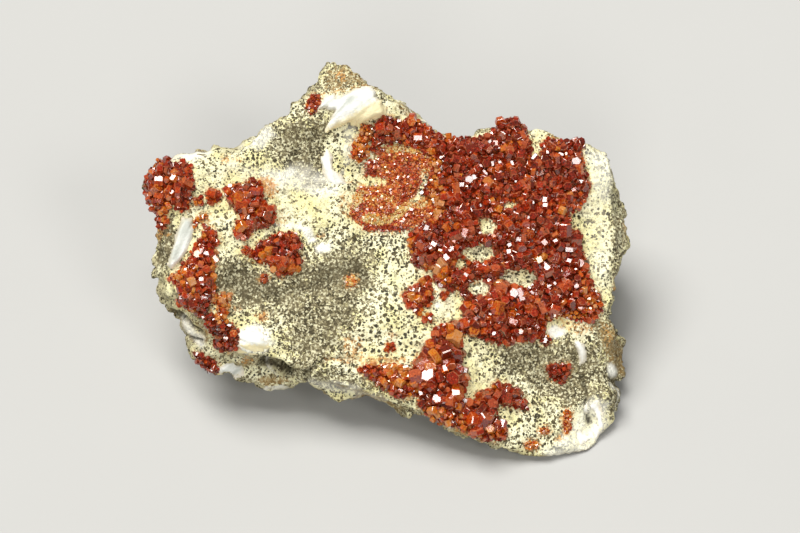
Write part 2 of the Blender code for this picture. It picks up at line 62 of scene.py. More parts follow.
def ramp(low: float, high: float, value: np.ndarray) -> np.ndarray:
    """Rises smoothly from 0 at low to 1 at high.

    Args:
        low: Where the rise starts.
        high: Where it ends; it may be below low, for a fall.
        value: The numbers to map.

    Returns:
        Numbers from 0 to 1.
    """
    share = np.clip((value - low) / (high - low), 0.0, 1.0)
    return share * share * (3 - 2 * share)


def lattice_hash(cells: np.ndarray, seed: int) -> np.ndarray:
    """One steady random number from 0 to 1 for each whole-number cell.

    Args:
        cells: Whole coordinates, the last axis being x, y and z.
        seed: Which of many such fields to give.

    Returns:
        The numbers, without the last axis.
    """
    mixed = cells.astype(np.int64)
    word = mixed[..., 0] * 73856093 ^ mixed[..., 1] * 19349663 ^ mixed[..., 2] * 83492791
    word = (word ^ (seed * 2654435761)) & 0xFFFFFFFF
    word = (word ^ (word >> 15)) * 2246822519 & 0xFFFFFFFF
    word = (word ^ (word >> 13)) * 3266489917 & 0xFFFFFFFF
    return (word ^ (word >> 16)) / 4294967295.0


def smooth_noise(points: np.ndarray, size: float, seed: int = 0) -> np.ndarray:
    """Soft random field from -1 to 1.

    Args:
        points: Places, as rows of x, y and z.
        size: Size of one blob.
        seed: Which of many such fields to give.

    Returns:
        One number for each place.
    """
    scaled = points / size
    base = np.floor(scaled)
    part = scaled - base
    part = part * part * (3 - 2 * part)
    total = np.zeros(len(points))
    for corner in np.ndindex(2, 2, 2):
        step = np.array(corner)
        weight = np.prod(np.where(step == 1, part, 1 - part), axis=1)
        total += weight * lattice_hash(base + step, seed)
    return total * 2 - 1


def rough_noise(points: np.ndarray, size: float, octaves: int, seed: int = 0) -> np.ndarray:
    """Soft random field with finer and finer detail, from about -1 to 1.

    Args:
        points: Places, as rows of x, y and z.
        size: Size of the largest blobs.
        octaves: How many times finer detail is added.
        seed: Which of many such fields to give.

    Returns:
        One number for each place.
    """
    total = np.zeros(len(points))
    reach = 0.0
    for octave in range(octaves):
        weight = 0.5**octave
        total += weight * smooth_noise(points, size * 0.47**octave, seed + octave * 17)
        reach += weight
    return total / reach


def cell_field(points: np.ndarray, size: float, seed: int = 0) -> tuple[np.ndarray, ...]:
    """Random cells of about one size, such as grains or chips.

    Args:
        points: Places, as rows of x, y and z.
        size: Size of one cell.
        seed: Which of many such fields to give.

    Returns:
        The distance to the nearest cell centre and to the second nearest, as shares of the
        size, and one steady random number for each nearest cell.
    """
    scaled = points / size
    base = np.floor(scaled)
    nearest = np.full(len(points), 9.0)
    second = np.full(len(points), 9.0)
    mark = np.zeros(len(points))
    for offset in np.ndindex(3, 3, 3):
        cell = base + np.array(offset) - 1
        jitter = np.stack([lattice_hash(cell, seed + k) for k in (1, 2, 3)], axis=1)
        away = np.linalg.norm(cell + jitter - scaled, axis=1)
        closer = away < nearest
        second = np.where(closer, nearest, np.minimum(second, away))
        mark = np.where(closer, lattice_hash(cell, seed + 4), mark)
        nearest = np.where(closer, away, nearest)
    return nearest, second, mark


# ---------------------------------------------------------------------------------------------
# Drawing plane: where outlines are drawn, and how they land on the rock
# ---------------------------------------------------------------------------------------------


@dataclass(frozen=True)
class DrawingPlane:
    """The plane on which every outline is drawn, and the point from which it is looked at.

    u runs right and v up in the plane. An outline lands on the rock along lines from the eye.
    """

    centre: tuple[float, float, float] = (0.0, -8.0, 23.5)
    elevation: float = 50.0
    distance: float = 550.0

    def axes(self) -> tuple[Vector, Vector, Vector]:
        """The plane's directions right, up and out towards the eye."""
        lift = math.radians(self.elevation)
        right = Vector((1, 0, 0))
        up = Vector((0, math.sin(lift), math.cos(lift)))
        out = Vector((0, -math.cos(lift), math.sin(lift)))
        return right, up, out

    def eye(self) -> Vector:
        """The point the plane is looked at from."""
        return Vector(self.centre) + self.axes()[2] * self.distance

    def ray(self, u: float, v: float) -> Vector:
        """The direction from the eye through a point of the plane."""
        right, up, _ = self.axes()
        return (Vector(self.centre) + right * u + up * v - self.eye()).normalized()

    def drawn(self, points: np.ndarray) -> tuple[np.ndarray, np.ndarray]:
        """Where places in space appear on the plane.

        Args:
            points: Places, as rows of x, y and z.

        Returns:
            Their u and their v.
        """
        right, up, out = (np.array(axis) for axis in self.axes())
        local = points - np.array(self.centre)
        shrink = self.distance / (self.distance - local @ out)
        return local @ right * shrink, local @ up * shrink


PLANE = DrawingPlane()


@dataclass(frozen=True)
class Zone:
    """A closed outline on the drawing plane, with an edge that wanders."""

    outline: Outline
    soft: float = 0.5
    wander: float = 0.5

    def depth(self, u: np.ndarray, v: np.ndarray) -> np.ndarray:
        """How far points lie inside the outline.

        Args:
            u: Coordinates across.
            v: Coordinates up.

        Returns:
            Distances to the nearest side, negative outside.
        """
        nearest = np.full(len(u), np.inf)
        inside = np.zeros(len(u), bool)
        for (au, av), (bu, bv) in zip(self.outline, self.outline[1:] + self.outline[:1]):
            su, sv = bu - au, bv - av
            along = ((u - au) * su + (v - av) * sv) / (su * su + sv * sv)
            along = np.clip(along, 0.0, 1.0)
            away = np.hypot(u - au - along * su, v - av - along * sv)
            nearest = np.minimum(nearest, away)
            spans = (av > v) != (bv > v)
            crossing = (bu - au) * (v - av) / (sv if abs(sv) > 1e-9 else 1e-9) + au
            inside ^= spans & (u < crossing)
        return np.where(inside, nearest, -nearest)

    def mask(self, u: np.ndarray, v: np.ndarray, seed: int = 0) -> np.ndarray:
        """How strongly points belong to the zone.

        Args:
            u: Coordinates across.
            v: Coordinates up.
            seed: Which wandering of the edge to use.

        Returns:
            Numbers from 0 outside to 1 inside.
        """
        low_u, low_v, high_u, high_v = self.box()
        reach = self.soft + self.wander
        near = (u > low_u - reach) & (u < high_u + reach)
        near &= (v > low_v - reach) & (v < high_v + reach)
        close_u, close_v = u[near], v[near]
        flat = np.stack([close_u, close_v, np.zeros(len(close_u))], axis=1)
        wandering = rough_noise(flat, 2.4, 3, seed + 5) * self.wander
        result = np.zeros(len(u))
        depth = self.depth(close_u, close_v) + wandering
        result[near] = ramp(-self.soft, self.soft, depth)
        return result

    def box(self) -> tuple[float, float, float, float]:
        """The outline's lowest u and v and its highest u and v."""
        us, vs = zip(*self.outline)
        return min(us), min(vs), max(us), max(vs)


def spot(u: float, v: float, across: float, up: float | None = None) -> Outline:
    """A round outline of eight points.

    Args:
        u: Middle, across.
        v: Middle, up.
        across: Width.
        up: Height; the width where it isn't given.

    Returns:
        The outline.
    """
    high = across if up is None else up
    turns = [math.pi * k / 4 for k in range(8)]
    return tuple((u + across / 2 * math.cos(a), v + high / 2 * math.sin(a)) for a in turns)


# ---------------------------------------------------------------------------------------------
# Meshes
# ---------------------------------------------------------------------------------------------


def mesh_object(
    name: str,
    points: np.ndarray,
    faces: list[tuple[int, ...]],
    fields: dict[str, np.ndarray],
    smooth: bool,
) -> bpy.types.Object:
    """Makes an object from points in millimetres.

    Args:
        name: Its name.
        points: Rows of x, y and z.
        faces: Corners of each face.
        fields: Numbers for each point, by name, for the materials.
        smooth: Whether light runs smoothly over its faces.

    Returns:
        The object, linked into the scene.
    """
    mesh = bpy.data.meshes.new(name)
    mesh.from_pydata((points * MM).tolist(), [], faces)
    mesh.polygons.foreach_set("use_smooth", [smooth] * len(mesh.polygons))
    for label, numbers in fields.items():
        layer = mesh.attributes.new(label, "FLOAT", "POINT")
        layer.data.foreach_set("value", np.asarray(numbers, np.float32))
    mesh.update()
    made = bpy.data.objects.new(name, mesh)
    bpy.context.scene.collection.objects.link(made)
    return made


def vertex_array(mesh: bpy.types.Mesh, what: str = "co") -> np.ndarray:
    """The mesh's points, or with what = "normal" their normals, as rows of x, y and z."""
    numbers = np.zeros(len(mesh.vertices) * 3, np.float32)
    mesh.vertices.foreach_get(what, numbers)
    return numbers.reshape(-1, 3).astype(np.float64)


def fine_copy(node: str, voxel: float) -> bpy.types.Mesh:
    """An even, fine mesh of a solid of the frame.

    Args:
        node: The solid's name.
        voxel: Size of the new faces.

    Returns:
        The new mesh, in metres.
    """
    source = bpy.data.objects.new(f"{node}_source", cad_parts[node].data.copy())
    bpy.context.scene.collection.objects.link(source)
    remesh = source.modifiers.new("even", "REMESH")
    remesh.mode = "VOXEL"
    remesh.voxel_size = voxel * MM
    bpy.context.view_layer.update()
    graph = bpy.context.evaluated_depsgraph_get()
    mesh = bpy.data.meshes.new_from_object(source.evaluated_get(graph))
    bpy.data.objects.remove(source)
    return mesh


def drop_crumbs(mesh: bpy.types.Mesh) -> None:
    """Removes every loose part of a mesh but the largest."""
    work = bmesh.new()
    work.from_mesh(mesh)
    unseen = set(work.verts)
    parts = []
    while unseen:
        part = {unseen.pop()}
        front = list(part)
        while front:
            vertex = front.pop()
            for edge in vertex.link_edges:
                other = edge.other_vert(vertex)
                if other in unseen:
                    unseen.discard(other)
                    part.add(other)
                    front.append(other)
        parts.append(part)
    parts.sort(key=len)
    for part in parts[:-1]:
        bmesh.ops.delete(work, geom=list(part), context="VERTS")
    work.to_mesh(mesh)
    work.free()


def relax(points: np.ndarray, edges: np.ndarray, rounds: int, share: float = 0.5) -> np.ndarray:
    """Smooths points towards the mean of their neighbours.

    Args:
        points: Rows of numbers, one row for each vertex.
        edges: Pairs of vertices.
        rounds: How many times.
        share: How far each time.

    Returns:
        The smoothed rows.
    """
    count = np.bincount(edges.ravel(), minlength=len(points)).astype(float)[:, None]
    for _ in range(rounds):
        total = np.zeros_like(points)
        np.add.at(total, edges[:, 0], points[edges[:, 1]])
        np.add.at(total, edges[:, 1], points[edges[:, 0]])
        points = points + (total / np.maximum(count, 1) - points) * share
    return points


def dress(piece: bpy.types.Object, material: bpy.types.Material, slot: str, *nodes: str) -> None:
    """Gives a piece its material and its place in the frame.

    Args:
        piece: The piece.
        material: Its finish.
        slot: Not used.
        nodes: The solids of the frame that it stands for.
    """
    piece.data.materials.clear()
    piece.data.materials.append(material)
    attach(piece, "root")
    if nodes:
        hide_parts(*nodes)
    LOG.info("%s: %d faces, stands for %s", piece.name, len(piece.data.polygons), nodes)


# ---------------------------------------------------------------------------------------------
# Shader building
# ---------------------------------------------------------------------------------------------

Socket = bpy.types.NodeSocket
Feed = Socket | float | tuple[float, ...]


class NodeSheet:
    """Adds nodes to a material or to a shader group and joins them."""

    def __init__(self, tree: bpy.types.NodeTree) -> None:
        """Starts on an empty tree."""
        self.tree = tree
        tree.nodes.clear()

    def add(self, kind: str, settings: dict | None = None, **inputs: Feed) -> bpy.types.Node:
        """Adds one node.

        Args:
            kind: Its type, without the ShaderNode in front.
            settings: Its properties.
            inputs: What feeds its sockets, by name with _ for a space, or i0, i1 by number.

        Returns:
            The node.
        """
        node = self.tree.nodes.new(f"ShaderNode{kind}")
        for key, value in (settings or {}).items():
            setattr(node, key, value)
        for key, feed in inputs.items():
            numbered = key[0] == "i" and key[1:].isdigit()
            self.feed(node.inputs[int(key[1:]) if numbered else key.replace("_", " ")], feed)
        return node

    def feed(self, socket: Socket, feed: Feed) -> None:
        """Joins a socket to another, or sets its value."""
        if isinstance(feed, bpy.types.NodeSocket):
            self.tree.links.new(feed, socket)
        elif isinstance(feed, tuple) and len(feed) == 3 and socket.type == "RGBA":
            socket.default_value = (*feed, 1.0)
        else:
            socket.default_value = feed

    def math(self, operation: str, first: Feed, second: Feed = 0.0, clamp: bool = False) -> Socket:
        """The result of a sum on two numbers."""
        settings = {"operation": operation, "use_clamp": clamp}
        return self.add("Math", settings, i0=first, i1=second).outputs[0]

    def mix(self, share: Feed, first: Feed, second: Feed, blend: str = "MIX") -> Socket:
        """A colour between two others."""
        node = self.add("Mix", {"data_type": "RGBA", "blend_type": blend})
        for index, feed in ((0, share), (6, first), (7, second)):
            self.feed(node.inputs[index], feed)
        return node.outputs[2]

    def blend(self, share: Feed, first: Feed, second: Feed) -> Socket:
        """A number between two others."""
        node = self.add("Mix", {"data_type": "FLOAT"})
        for index, feed in ((0, share), (2, first), (3, second)):
            self.feed(node.inputs[index], feed)
        return node.outputs[0]

    def rise(self, value: Feed, low: Feed, high: Feed) -> Socket:
        """A number that rises smoothly from 0 at low to 1 at high."""
        settings = {"interpolation_type": "SMOOTHSTEP"}
        node = self.add("MapRange", settings, Value=value)
        self.feed(node.inputs["From Min"], low)
        self.feed(node.inputs["From Max"], high)
        return node.outputs[0]

    def noise(self, where: Socket, size: float, detail: float = 2.0, rough: float = 0.5) -> Socket:
        """A random field from 0 to 1 with blobs of this size."""
        inputs = {"Vector": where, "Scale": 1 / size, "Detail": detail, "Roughness": rough}
        return self.add("TexNoise", {"noise_dimensions": "3D"}, **inputs).outputs[0]

    def colours(self, value: Socket, stops: tuple[tuple[float, tuple[float, ...]], ...]) -> Socket:
        """A colour picked along a row of stops, each a place from 0 to 1 and a colour."""
        node = self.add("ValToRGB", None, Fac=value)
        steps = node.color_ramp.elements
        while len(steps) < len(stops):
            steps.new(0.5)
        for step, (place, colour) in zip(steps, stops):
            step.position = place
            step.color = (*colour, 1.0)
        return node.outputs[0]

    def attribute(self, name: str) -> Socket:
        """A number that the mesh holds for each point."""
        return self.add("Attribute", {"attribute_name": name}).outputs["Fac"]

    def group(self, tree: bpy.types.NodeTree, **inputs: Feed) -> bpy.types.Node:
        """Places a shader group."""
        node = self.add("Group", {"node_tree": tree})
        for key, feed in inputs.items():
            self.feed(node.inputs[key.replace("_", " ")], feed)
        return node


def new_group(name: str, inputs: dict[str, str], outputs: dict[str, str]) -> NodeSheet:
    """Starts a shader group.

    Args:
        name: Its name.
        inputs: Its inputs, each with the kind of socket: Float, Vector or Color.
        outputs: Its outputs, in the same way.

    Returns:
        A sheet with the group's own input and output nodes named in and out.
    """
    tree = bpy.data.node_groups.new(name, "ShaderNodeTree")
    for side, sockets in (("INPUT", inputs), ("OUTPUT", outputs)):
        for label, kind in sockets.items():
            tree.interface.new_socket(label, in_out=side, socket_type=f"NodeSocket{kind}")
    sheet = NodeSheet(tree)
    tree.nodes.new("NodeGroupInput").name = "in"
    tree.nodes.new("NodeGroupOutput").name = "out"
    return sheet


class Effects:
    """Shader groups that more than one finish uses, each built once."""

    def __init__(self) -> None:
        """Builds the groups."""
        self.grains = self.grain_group()
        self.mottle = self.mottle_group()
        self.relief = self.relief_group()

    @staticmethod
    def grain_group() -> bpy.types.NodeTree:
        """Separate dark grains of uneven size and outline.

        Returns:
            A group that takes Position in millimetres, Spacing and Cover, and gives Mask and
            Shade, one random number for each grain.
        """
        sheet = new_group(
            "grains",
            {"Position": "Vector", "Spacing": "Float", "Cover": "Float"},
            {"Mask": "Float", "Shade": "Float"},
        )
        given = sheet.tree.nodes["in"].outputs
        wobble = sheet.add("TexNoise", None, Vector=given["Position"], Scale=2.6, Detail=2.0)
        shift = sheet.add("VectorMath", {"operation": "SCALE"}, i0=wobble.outputs["Color"])
        shift.inputs["Scale"].default_value = 0.42
        moved = sheet.add(
            "VectorMath", {"operation": "ADD"}, i0=given["Position"], i1=shift.outputs[0]
        )
        scale = sheet.math("DIVIDE", 1.0, given["Spacing"])
        cells = sheet.add("TexVoronoi", {"feature": "F1"}, Vector=moved.outputs[0], Scale=scale)
        drawn = sheet.add("SeparateColor", None, Color=cells.outputs["Color"])
        patches = sheet.math("SUBTRACT", sheet.noise(given["Position"], 1.7), 0.5)
        cover = sheet.math("ADD", given["Cover"], sheet.math("MULTIPLY", patches, 1.1))
        shown = sheet.rise(sheet.math("SUBTRACT", cover, drawn.outputs[0]), -0.03, 0.12)
        radius = sheet.math("ADD", 0.27, sheet.math("MULTIPLY", drawn.outputs[1], 0.21))
        inner = sheet.math("SUBTRACT", radius, 0.05)
        mask = sheet.math("MULTIPLY", sheet.rise(cells.outputs["Distance"], radius, inner), shown)
        sheet.tree.links.new(mask, sheet.tree.nodes["out"].inputs["Mask"])
        sheet.tree.links.new(drawn.outputs[2], sheet.tree.nodes["out"].inputs["Shade"])
        return sheet.tree

    @staticmethod
    def mottle_group() -> bpy.types.NodeTree:
        """Two sizes of soft cloud.

        Returns:
            A group that takes Position in millimetres and Size, and gives Broad and Fine.
        """
        sheet = new_group(
            "mottle",
            {"Position": "Vector", "Size": "Float"},
            {"Broad": "Float", "Fine": "Float"},
        )
        given = sheet.tree.nodes["in"].outputs
        scale = sheet.math("DIVIDE", 1.0, given["Size"])
        finer = sheet.math("MULTIPLY", scale, 6.3)
        for label, size, detail in (("Broad", scale, 4.0), ("Fine", finer, 3.0)):
            cloud = sheet.add("TexNoise", None, Vector=given["Position"], Scale=size)
            cloud.inputs["Detail"].default_value = detail
            sheet.tree.links.new(cloud.outputs[0], sheet.tree.nodes["out"].inputs[label])
        return sheet.tree

    @staticmethod
    def relief_group() -> bpy.types.NodeTree:
        """Fine surface relief, for bump.

        Returns:
            A group that takes Position in millimetres, Grain and Pits, and gives Height.
        """
        sheet = new_group(
            "relief",
            {"Position": "Vector", "Grain": "Float", "Pits": "Float"},
            {"Height": "Float"},
        )
        given = sheet.tree.nodes["in"].outputs
        scale = sheet.math("DIVIDE", 1.0, given["Grain"])
        cloud = sheet.add("TexNoise", None, Vector=given["Position"], Scale=scale)
        cloud.inputs["Detail"].default_value = 3.0
        cloud.inputs["Roughness"].default_value = 0.62
        pit_scale = sheet.math("MULTIPLY", scale, 0.8)
        cells = sheet.add("TexVoronoi", None, Vector=given["Position"], Scale=pit_scale)
        pits = sheet.rise(cells.outputs["Distance"], 0.0, 0.45)
        height = sheet.blend(given["Pits"], cloud.outputs[0], pits)
        sheet.tree.links.new(height, sheet.tree.nodes["out"].inputs["Height"])
        return sheet.tree


def start_material(name: str) -> tuple[bpy.types.Material, NodeSheet, Socket]:
    """Starts a material.

    Args:
        name: Its name.

    Returns:
        The material, a sheet for its nodes, and the place on the object in millimetres.
    """
    material = bpy.data.materials.new(name)
    material.use_nodes = True
    sheet = NodeSheet(material.node_tree)
    place = sheet.add("TexCoord").outputs["Object"]
    scaled = sheet.add("VectorMath", {"operation": "SCALE"}, i0=place)
    scaled.inputs["Scale"].default_value = 1 / MM
    return material, sheet, scaled.outputs[0]


def end_material(sheet: NodeSheet, shader: bpy.types.Node) -> None:
    """Joins the shader to the material's output."""
    output = sheet.add("OutputMaterial")
    sheet.tree.links.new(shader.outputs[0], output.inputs["Surface"])


def bump(sheet: NodeSheet, height: Socket, depth: float) -> Socket:
    """A normal from a height field whose full range is this deep in millimetres."""
    node = sheet.add("Bump", None, Height=height, Strength=1.0, Distance=depth * MM)
    return node.outputs[0]


@dataclass(frozen=True)
class RockFinish:
    """Cream rock with dark grains, grey salt-and-pepper zones, stains and white dusting."""

    cream: tuple[float, float, float] = (0.83, 0.77, 0.40)
    pale: tuple[float, float, float] = (0.91, 0.88, 0.61)
    buff: tuple[float, float, float] = (0.54, 0.47, 0.21)
    olive: tuple[float, float, float] = (0.33, 0.28, 0.14)
    grain_dark: tuple[float, float, float] = (0.016, 0.013, 0.006)
    grain_olive: tuple[float, float, float] = (0.10, 0.075, 0.026)
    grey_dark: tuple[float, float, float] = (0.055, 0.045, 0.022)
    # Colour of the painted shade laid into hollows and cracks of the rock.
    painted_hollow_shade: tuple[float, float, float] = (0.035, 0.027, 0.012)
    grey: tuple[float, float, float] = (0.16, 0.132, 0.07)
    grey_light: tuple[float, float, float] = (0.33, 0.285, 0.16)
    peach: tuple[float, float, float] = (0.66, 0.34, 0.10)
    ochre: tuple[float, float, float] = (0.30, 0.19, 0.065)
    russet: tuple[float, float, float] = (0.42, 0.14, 0.03)
    rust: tuple[float, float, float] = (0.30, 0.05, 0.008)
    white: tuple[float, float, float] = (0.93, 0.92, 0.83)
    roughness: float = 0.78
    grain_spacings: tuple[float, float, float] = (0.98, 0.66, 0.46)
    grit_spacings: tuple[float, float] = (0.46, 0.36)

    def build(self, effects: Effects) -> bpy.types.Material:
        """Builds the material.

        Args:
            effects: The shared shader groups.

        Returns:
            The material.
        """
        material, sheet, place = start_material("speckled_rock")
        clouds = sheet.group(effects.mottle, Position=place, Size=5.0).outputs
        pepper = sheet.noise(place, 0.5, 3.0, 0.65)
        body = sheet.mix(sheet.rise(clouds["Broad"], 0.35, 0.65), self.cream, self.pale)
        buffed = sheet.math("MULTIPLY", sheet.rise(clouds["Fine"], 0.52, 0.75), 0.5)
        body = sheet.mix(buffed, body, self.buff)
        side = sheet.math("MULTIPLY", sheet.attribute("wall"), sheet.rise(clouds["Broad"], 0.3, 0.6))
        body = sheet.mix(sheet.math("MULTIPLY", side, 0.75), body, self.olive)
        pores = sheet.rise(sheet.noise(place, 0.34, 2.0, 0.6), 0.44, 0.34)
        body = sheet.mix(sheet.math("MULTIPLY", pores, 0.55), body, self.olive)
        body, specks = self.speckled(effects, sheet, place, body)
        grit = [
            sheet.group(effects.grains, Position=place, Spacing=size, Cover=1.0).outputs["Shade"]
            for size in self.grit_spacings
        ]
        grey = self.peppered(sheet, place, grit[1])
        body = sheet.mix(self.grey_share(sheet, grit[0]), body, grey)
        body = sheet.mix(self.broken(sheet, "ochre", clouds, pepper), body, self.ochre)
        white = sheet.math("MULTIPLY", sheet.attribute("white"), 0.95)
        body = sheet.mix(white, body, self.white)
        tarnish = sheet.mix(sheet.rise(pepper, 0.46, 0.62), self.russet, self.peach)
        body = sheet.mix(self.broken(sheet, "stain", clouds, pepper), body, tarnish)
        crust = sheet.math("ADD", sheet.attribute("crust"), clouds["Fine"])
        body = sheet.mix(sheet.rise(crust, 0.9, 1.25), body, self.rust)
        # Painted shade: hollows and cracks are darkened towards the painted shade colour.
        painted_hollow_shade = sheet.math("MULTIPLY", sheet.attribute("painted_hollow_shade"), 0.85)
        body = sheet.mix(painted_hollow_shade, body, self.painted_hollow_shade)
        fine = sheet.group(effects.relief, Position=place, Grain=0.4, Pits=0.25).outputs[0]
        coarse = sheet.group(effects.relief, Position=place, Grain=1.1, Pits=0.4).outputs[0]
        height = sheet.math("ADD", fine, coarse)
        height = sheet.math("SUBTRACT", height, sheet.math("MULTIPLY", specks, 0.25))
        shader = sheet.add(
            "BsdfPrincipled",
            None,
            Base_Color=body,
            Roughness=sheet.blend(specks, self.roughness, 0.45),
            Normal=bump(sheet, height, 0.34),
        )
        shader.inputs["Specular IOR Level"].default_value = 0.2
        end_material(sheet, shader)
        return material

    @staticmethod
    def broken(
        sheet: NodeSheet, mask: str, clouds: bpy.types.bpy_prop_collection, pepper: Socket
    ) -> Socket:
        """How much of a soft stain shows, broken up by clouds and by fine flecks.

        Args:
            sheet: The material's sheet.
            mask: Name of the mesh's numbers that say where the stain lies.
            clouds: The sockets of the mottle group.
            pepper: A finer random field.

        Returns:
            A share from 0 to 0.85.
        """
        flecks = sheet.math("MULTIPLY", sheet.math("SUBTRACT", pepper, 0.5), 3.0)
        zone = sheet.attribute(mask)
        edge = sheet.math("ADD", sheet.math("ADD", zone, clouds["Fine"]), flecks)
        share = sheet.math("MULTIPLY", sheet.rise(edge, 0.6, 1.5), 0.85)
        return sheet.math("MULTIPLY", share, sheet.rise(zone, 0.04, 0.3))

    def speckled(
        self, effects: Effects, sheet: NodeSheet, place: Socket, body: Socket
    ) -> tuple[Socket, Socket]:
        """Strews dark grains of three sizes over the body colour.

        Args:
            effects: The shared shader groups.
            sheet: The material's sheet.
            place: The place in millimetres.
            body: The colour below the grains.

        Returns:
            The colour with grains, and their mask.
        """
        specks = None
        for spacing, field_name in zip(self.grain_spacings, ("dots", "specks", "specks")):
            cover = sheet.attribute(field_name)
            grains = sheet.group(effects.grains, Position=place, Spacing=spacing, Cover=cover)
            tone = sheet.mix(
                sheet.rise(grains.outputs["Shade"], 0.45, 0.9), self.grain_dark, self.grain_olive
            )
            body = sheet.mix(sheet.math("MULTIPLY", grains.outputs["Mask"], 0.96), body, tone)
            mask = grains.outputs["Mask"]
            specks = mask if specks is None else sheet.math("MAXIMUM", specks, mask)
        return body, specks

    @staticmethod
    def grey_share(sheet: NodeSheet, grit: Socket) -> Socket:
        """How much grey shows, broken up grain by grain where the zone fades."""
        flecks = sheet.math("MULTIPLY", sheet.math("SUBTRACT", grit, 0.5), 1.3)
        edge = sheet.math("SUBTRACT", sheet.attribute("grey"), flecks)
        return sheet.rise(edge, 0.28, 0.52)

    def peppered(self, sheet: NodeSheet, place: Socket, grit: Socket) -> Socket:
        """The grey zones' colour: pale and dark grit on grey-brown.

        Args:
            sheet: The material's sheet.
            place: The place in millimetres.
            grit: One random number for each grain.

        Returns:
            The colour.
        """
        broad = sheet.noise(place, 3.2, 3.0)
        tone = sheet.mix(sheet.rise(broad, 0.35, 0.65), self.grey_dark, self.grey)
        fine = sheet.math("MULTIPLY", sheet.math("SUBTRACT", sheet.noise(place, 0.4), 0.5), 1.4)
        grit = sheet.math("ADD", grit, fine)
        tone = sheet.mix(sheet.rise(grit, 0.30, 0.62), tone, self.grey_light)
        depth = sheet.rise(sheet.attribute("grey"), 0.8, 1.4)
        tone = sheet.mix(sheet.math("MULTIPLY", depth, 0.55), tone, self.grey_dark)
        lit = sheet.math("MULTIPLY", sheet.rise(grit, 0.70, 0.95), 0.72)
        lit = sheet.math("MULTIPLY", lit, sheet.blend(depth, 1.0, 0.5))
        return sheet.mix(lit, tone, self.pale)


@dataclass(frozen=True)
class CrystalFinish:
    """Glossy translucent crystals, from brown-red through deep red to orange."""

    name: str
    shade: tuple[float, float, float]
    dark: tuple[float, float, float]
    deep: tuple[float, float, float]
    bright: tuple[float, float, float]
    warm: tuple[float, float, float]
    pale: tuple[float, float, float]
    roughness: float = 0.05
    ior: float = 1.82
    clearness: float = 0.5

    def build(self, effects: Effects) -> bpy.types.Material:
        """Builds the material.

        Args:
            effects: The shared shader groups.

        Returns:
            The material.
        """
        material, sheet, place = start_material(self.name)
        clouds = sheet.group(effects.mottle, Position=place, Size=2.2).outputs
        tint = sheet.math("ADD", sheet.attribute("tint"), clouds["Fine"])
        tint = sheet.math("SUBTRACT", tint, 0.5, clamp=True)
        stops = (
            (0.0, self.shade),
            (0.12, self.dark),
            (0.35, self.deep),
            (0.60, self.bright),
            (0.80, self.warm),
            (1.0, self.pale),
        )
        body = sheet.colours(tint, stops)
        # Painted shade and painted highlight: each face carries a number. Faces with a low number
        # are darkened towards the shade colour. Faces with a high number, every bevel among them,
        # are lightened towards the pale colour as painted reflections.
        painted_facet_light = sheet.attribute("painted_facet_light")
        depth = sheet.blend(sheet.rise(tint, 0.45, 0.8), 0.66, 0.14)
        painted_facet_shade = sheet.math("MULTIPLY", sheet.rise(painted_facet_light, 0.5, 0.0), depth)
        body = sheet.mix(painted_facet_shade, body, self.shade)
        lit = sheet.math("MULTIPLY", sheet.rise(painted_facet_light, 0.6, 0.9), 0.28)
        body = sheet.mix(lit, body, self.pale)
        flaws = sheet.noise(place, 0.34, 3.0, 0.62)
        veils = sheet.math("MULTIPLY", sheet.rise(flaws, 0.56, 0.70), 0.5)
        veils = sheet.math("MULTIPLY", veils, sheet.rise(tint, 0.05, 0.3))
        body = sheet.mix(veils, body, self.pale)
        murk = sheet.math("MULTIPLY", sheet.rise(flaws, 0.45, 0.32), depth)
        body = sheet.mix(murk, body, self.shade)
        haze = sheet.rise(clouds["Fine"], 0.45, 0.8)
        rough = sheet.blend(haze, self.roughness, self.roughness + 0.14)
        height = sheet.group(effects.relief, Position=place, Grain=0.6, Pits=0.0).outputs[0]
        shader = sheet.add(
            "BsdfPrincipled",
            None,
            Base_Color=body,
            Roughness=rough,
            Normal=bump(sheet, height, 0.008),
        )
        shader.inputs["IOR"].default_value = self.ior
        shader.inputs["Transmission Weight"].default_value = self.clearness
        end_material(sheet, shader)
        return material


@dataclass(frozen=True)
class BariteFinish:
    """White fibrous barite with grey seams and warm dust in its hollows."""

    white: tuple[float, float, float] = (0.87, 0.88, 0.84)
    grey: tuple[float, float, float] = (0.42, 0.45, 0.39)
    warm: tuple[float, float, float] = (0.75, 0.62, 0.40)
    cream: tuple[float, float, float] = (0.84, 0.72, 0.38)

    def build(self, effects: Effects) -> bpy.types.Material:
        """Builds the material.

        Args:
            effects: The shared shader groups.

        Returns:
            The material.
        """
        material, sheet, place = start_material("barite")
        clouds = sheet.group(effects.mottle, Position=place, Size=3.0).outputs
        haze = sheet.math("MULTIPLY", sheet.rise(clouds["Broad"], 0.45, 0.75), 0.5)
        body = sheet.mix(haze, self.white, self.grey)
        fibre = sheet.attribute("fibre")
        body = sheet.mix(sheet.math("MULTIPLY", fibre, 0.6), body, self.grey)
        rim = sheet.math("MULTIPLY", sheet.attribute("rim"), clouds["Fine"])
        body = sheet.mix(rim, body, self.warm)
        dusted = sheet.math("ADD", sheet.attribute("dust"), clouds["Fine"])
        dusted = sheet.math("MULTIPLY", sheet.rise(dusted, 0.6, 1.3), 0.8)
        body = sheet.mix(dusted, body, self.cream)
        height = sheet.group(effects.relief, Position=place, Grain=0.5, Pits=0.1).outputs[0]
        shader = sheet.add(
            "BsdfPrincipled",
            None,
            Base_Color=body,
            Roughness=sheet.blend(clouds["Fine"], 0.3, 0.6),
            Normal=bump(sheet, height, 0.14),
        )
        shader.inputs["Subsurface Weight"].default_value = 0.2
        shader.inputs["Subsurface Radius"].default_value = (1.0, 0.95, 0.9)
        shader.inputs["Subsurface Scale"].default_value = 0.5 * MM
        end_material(sheet, shader)
        return material


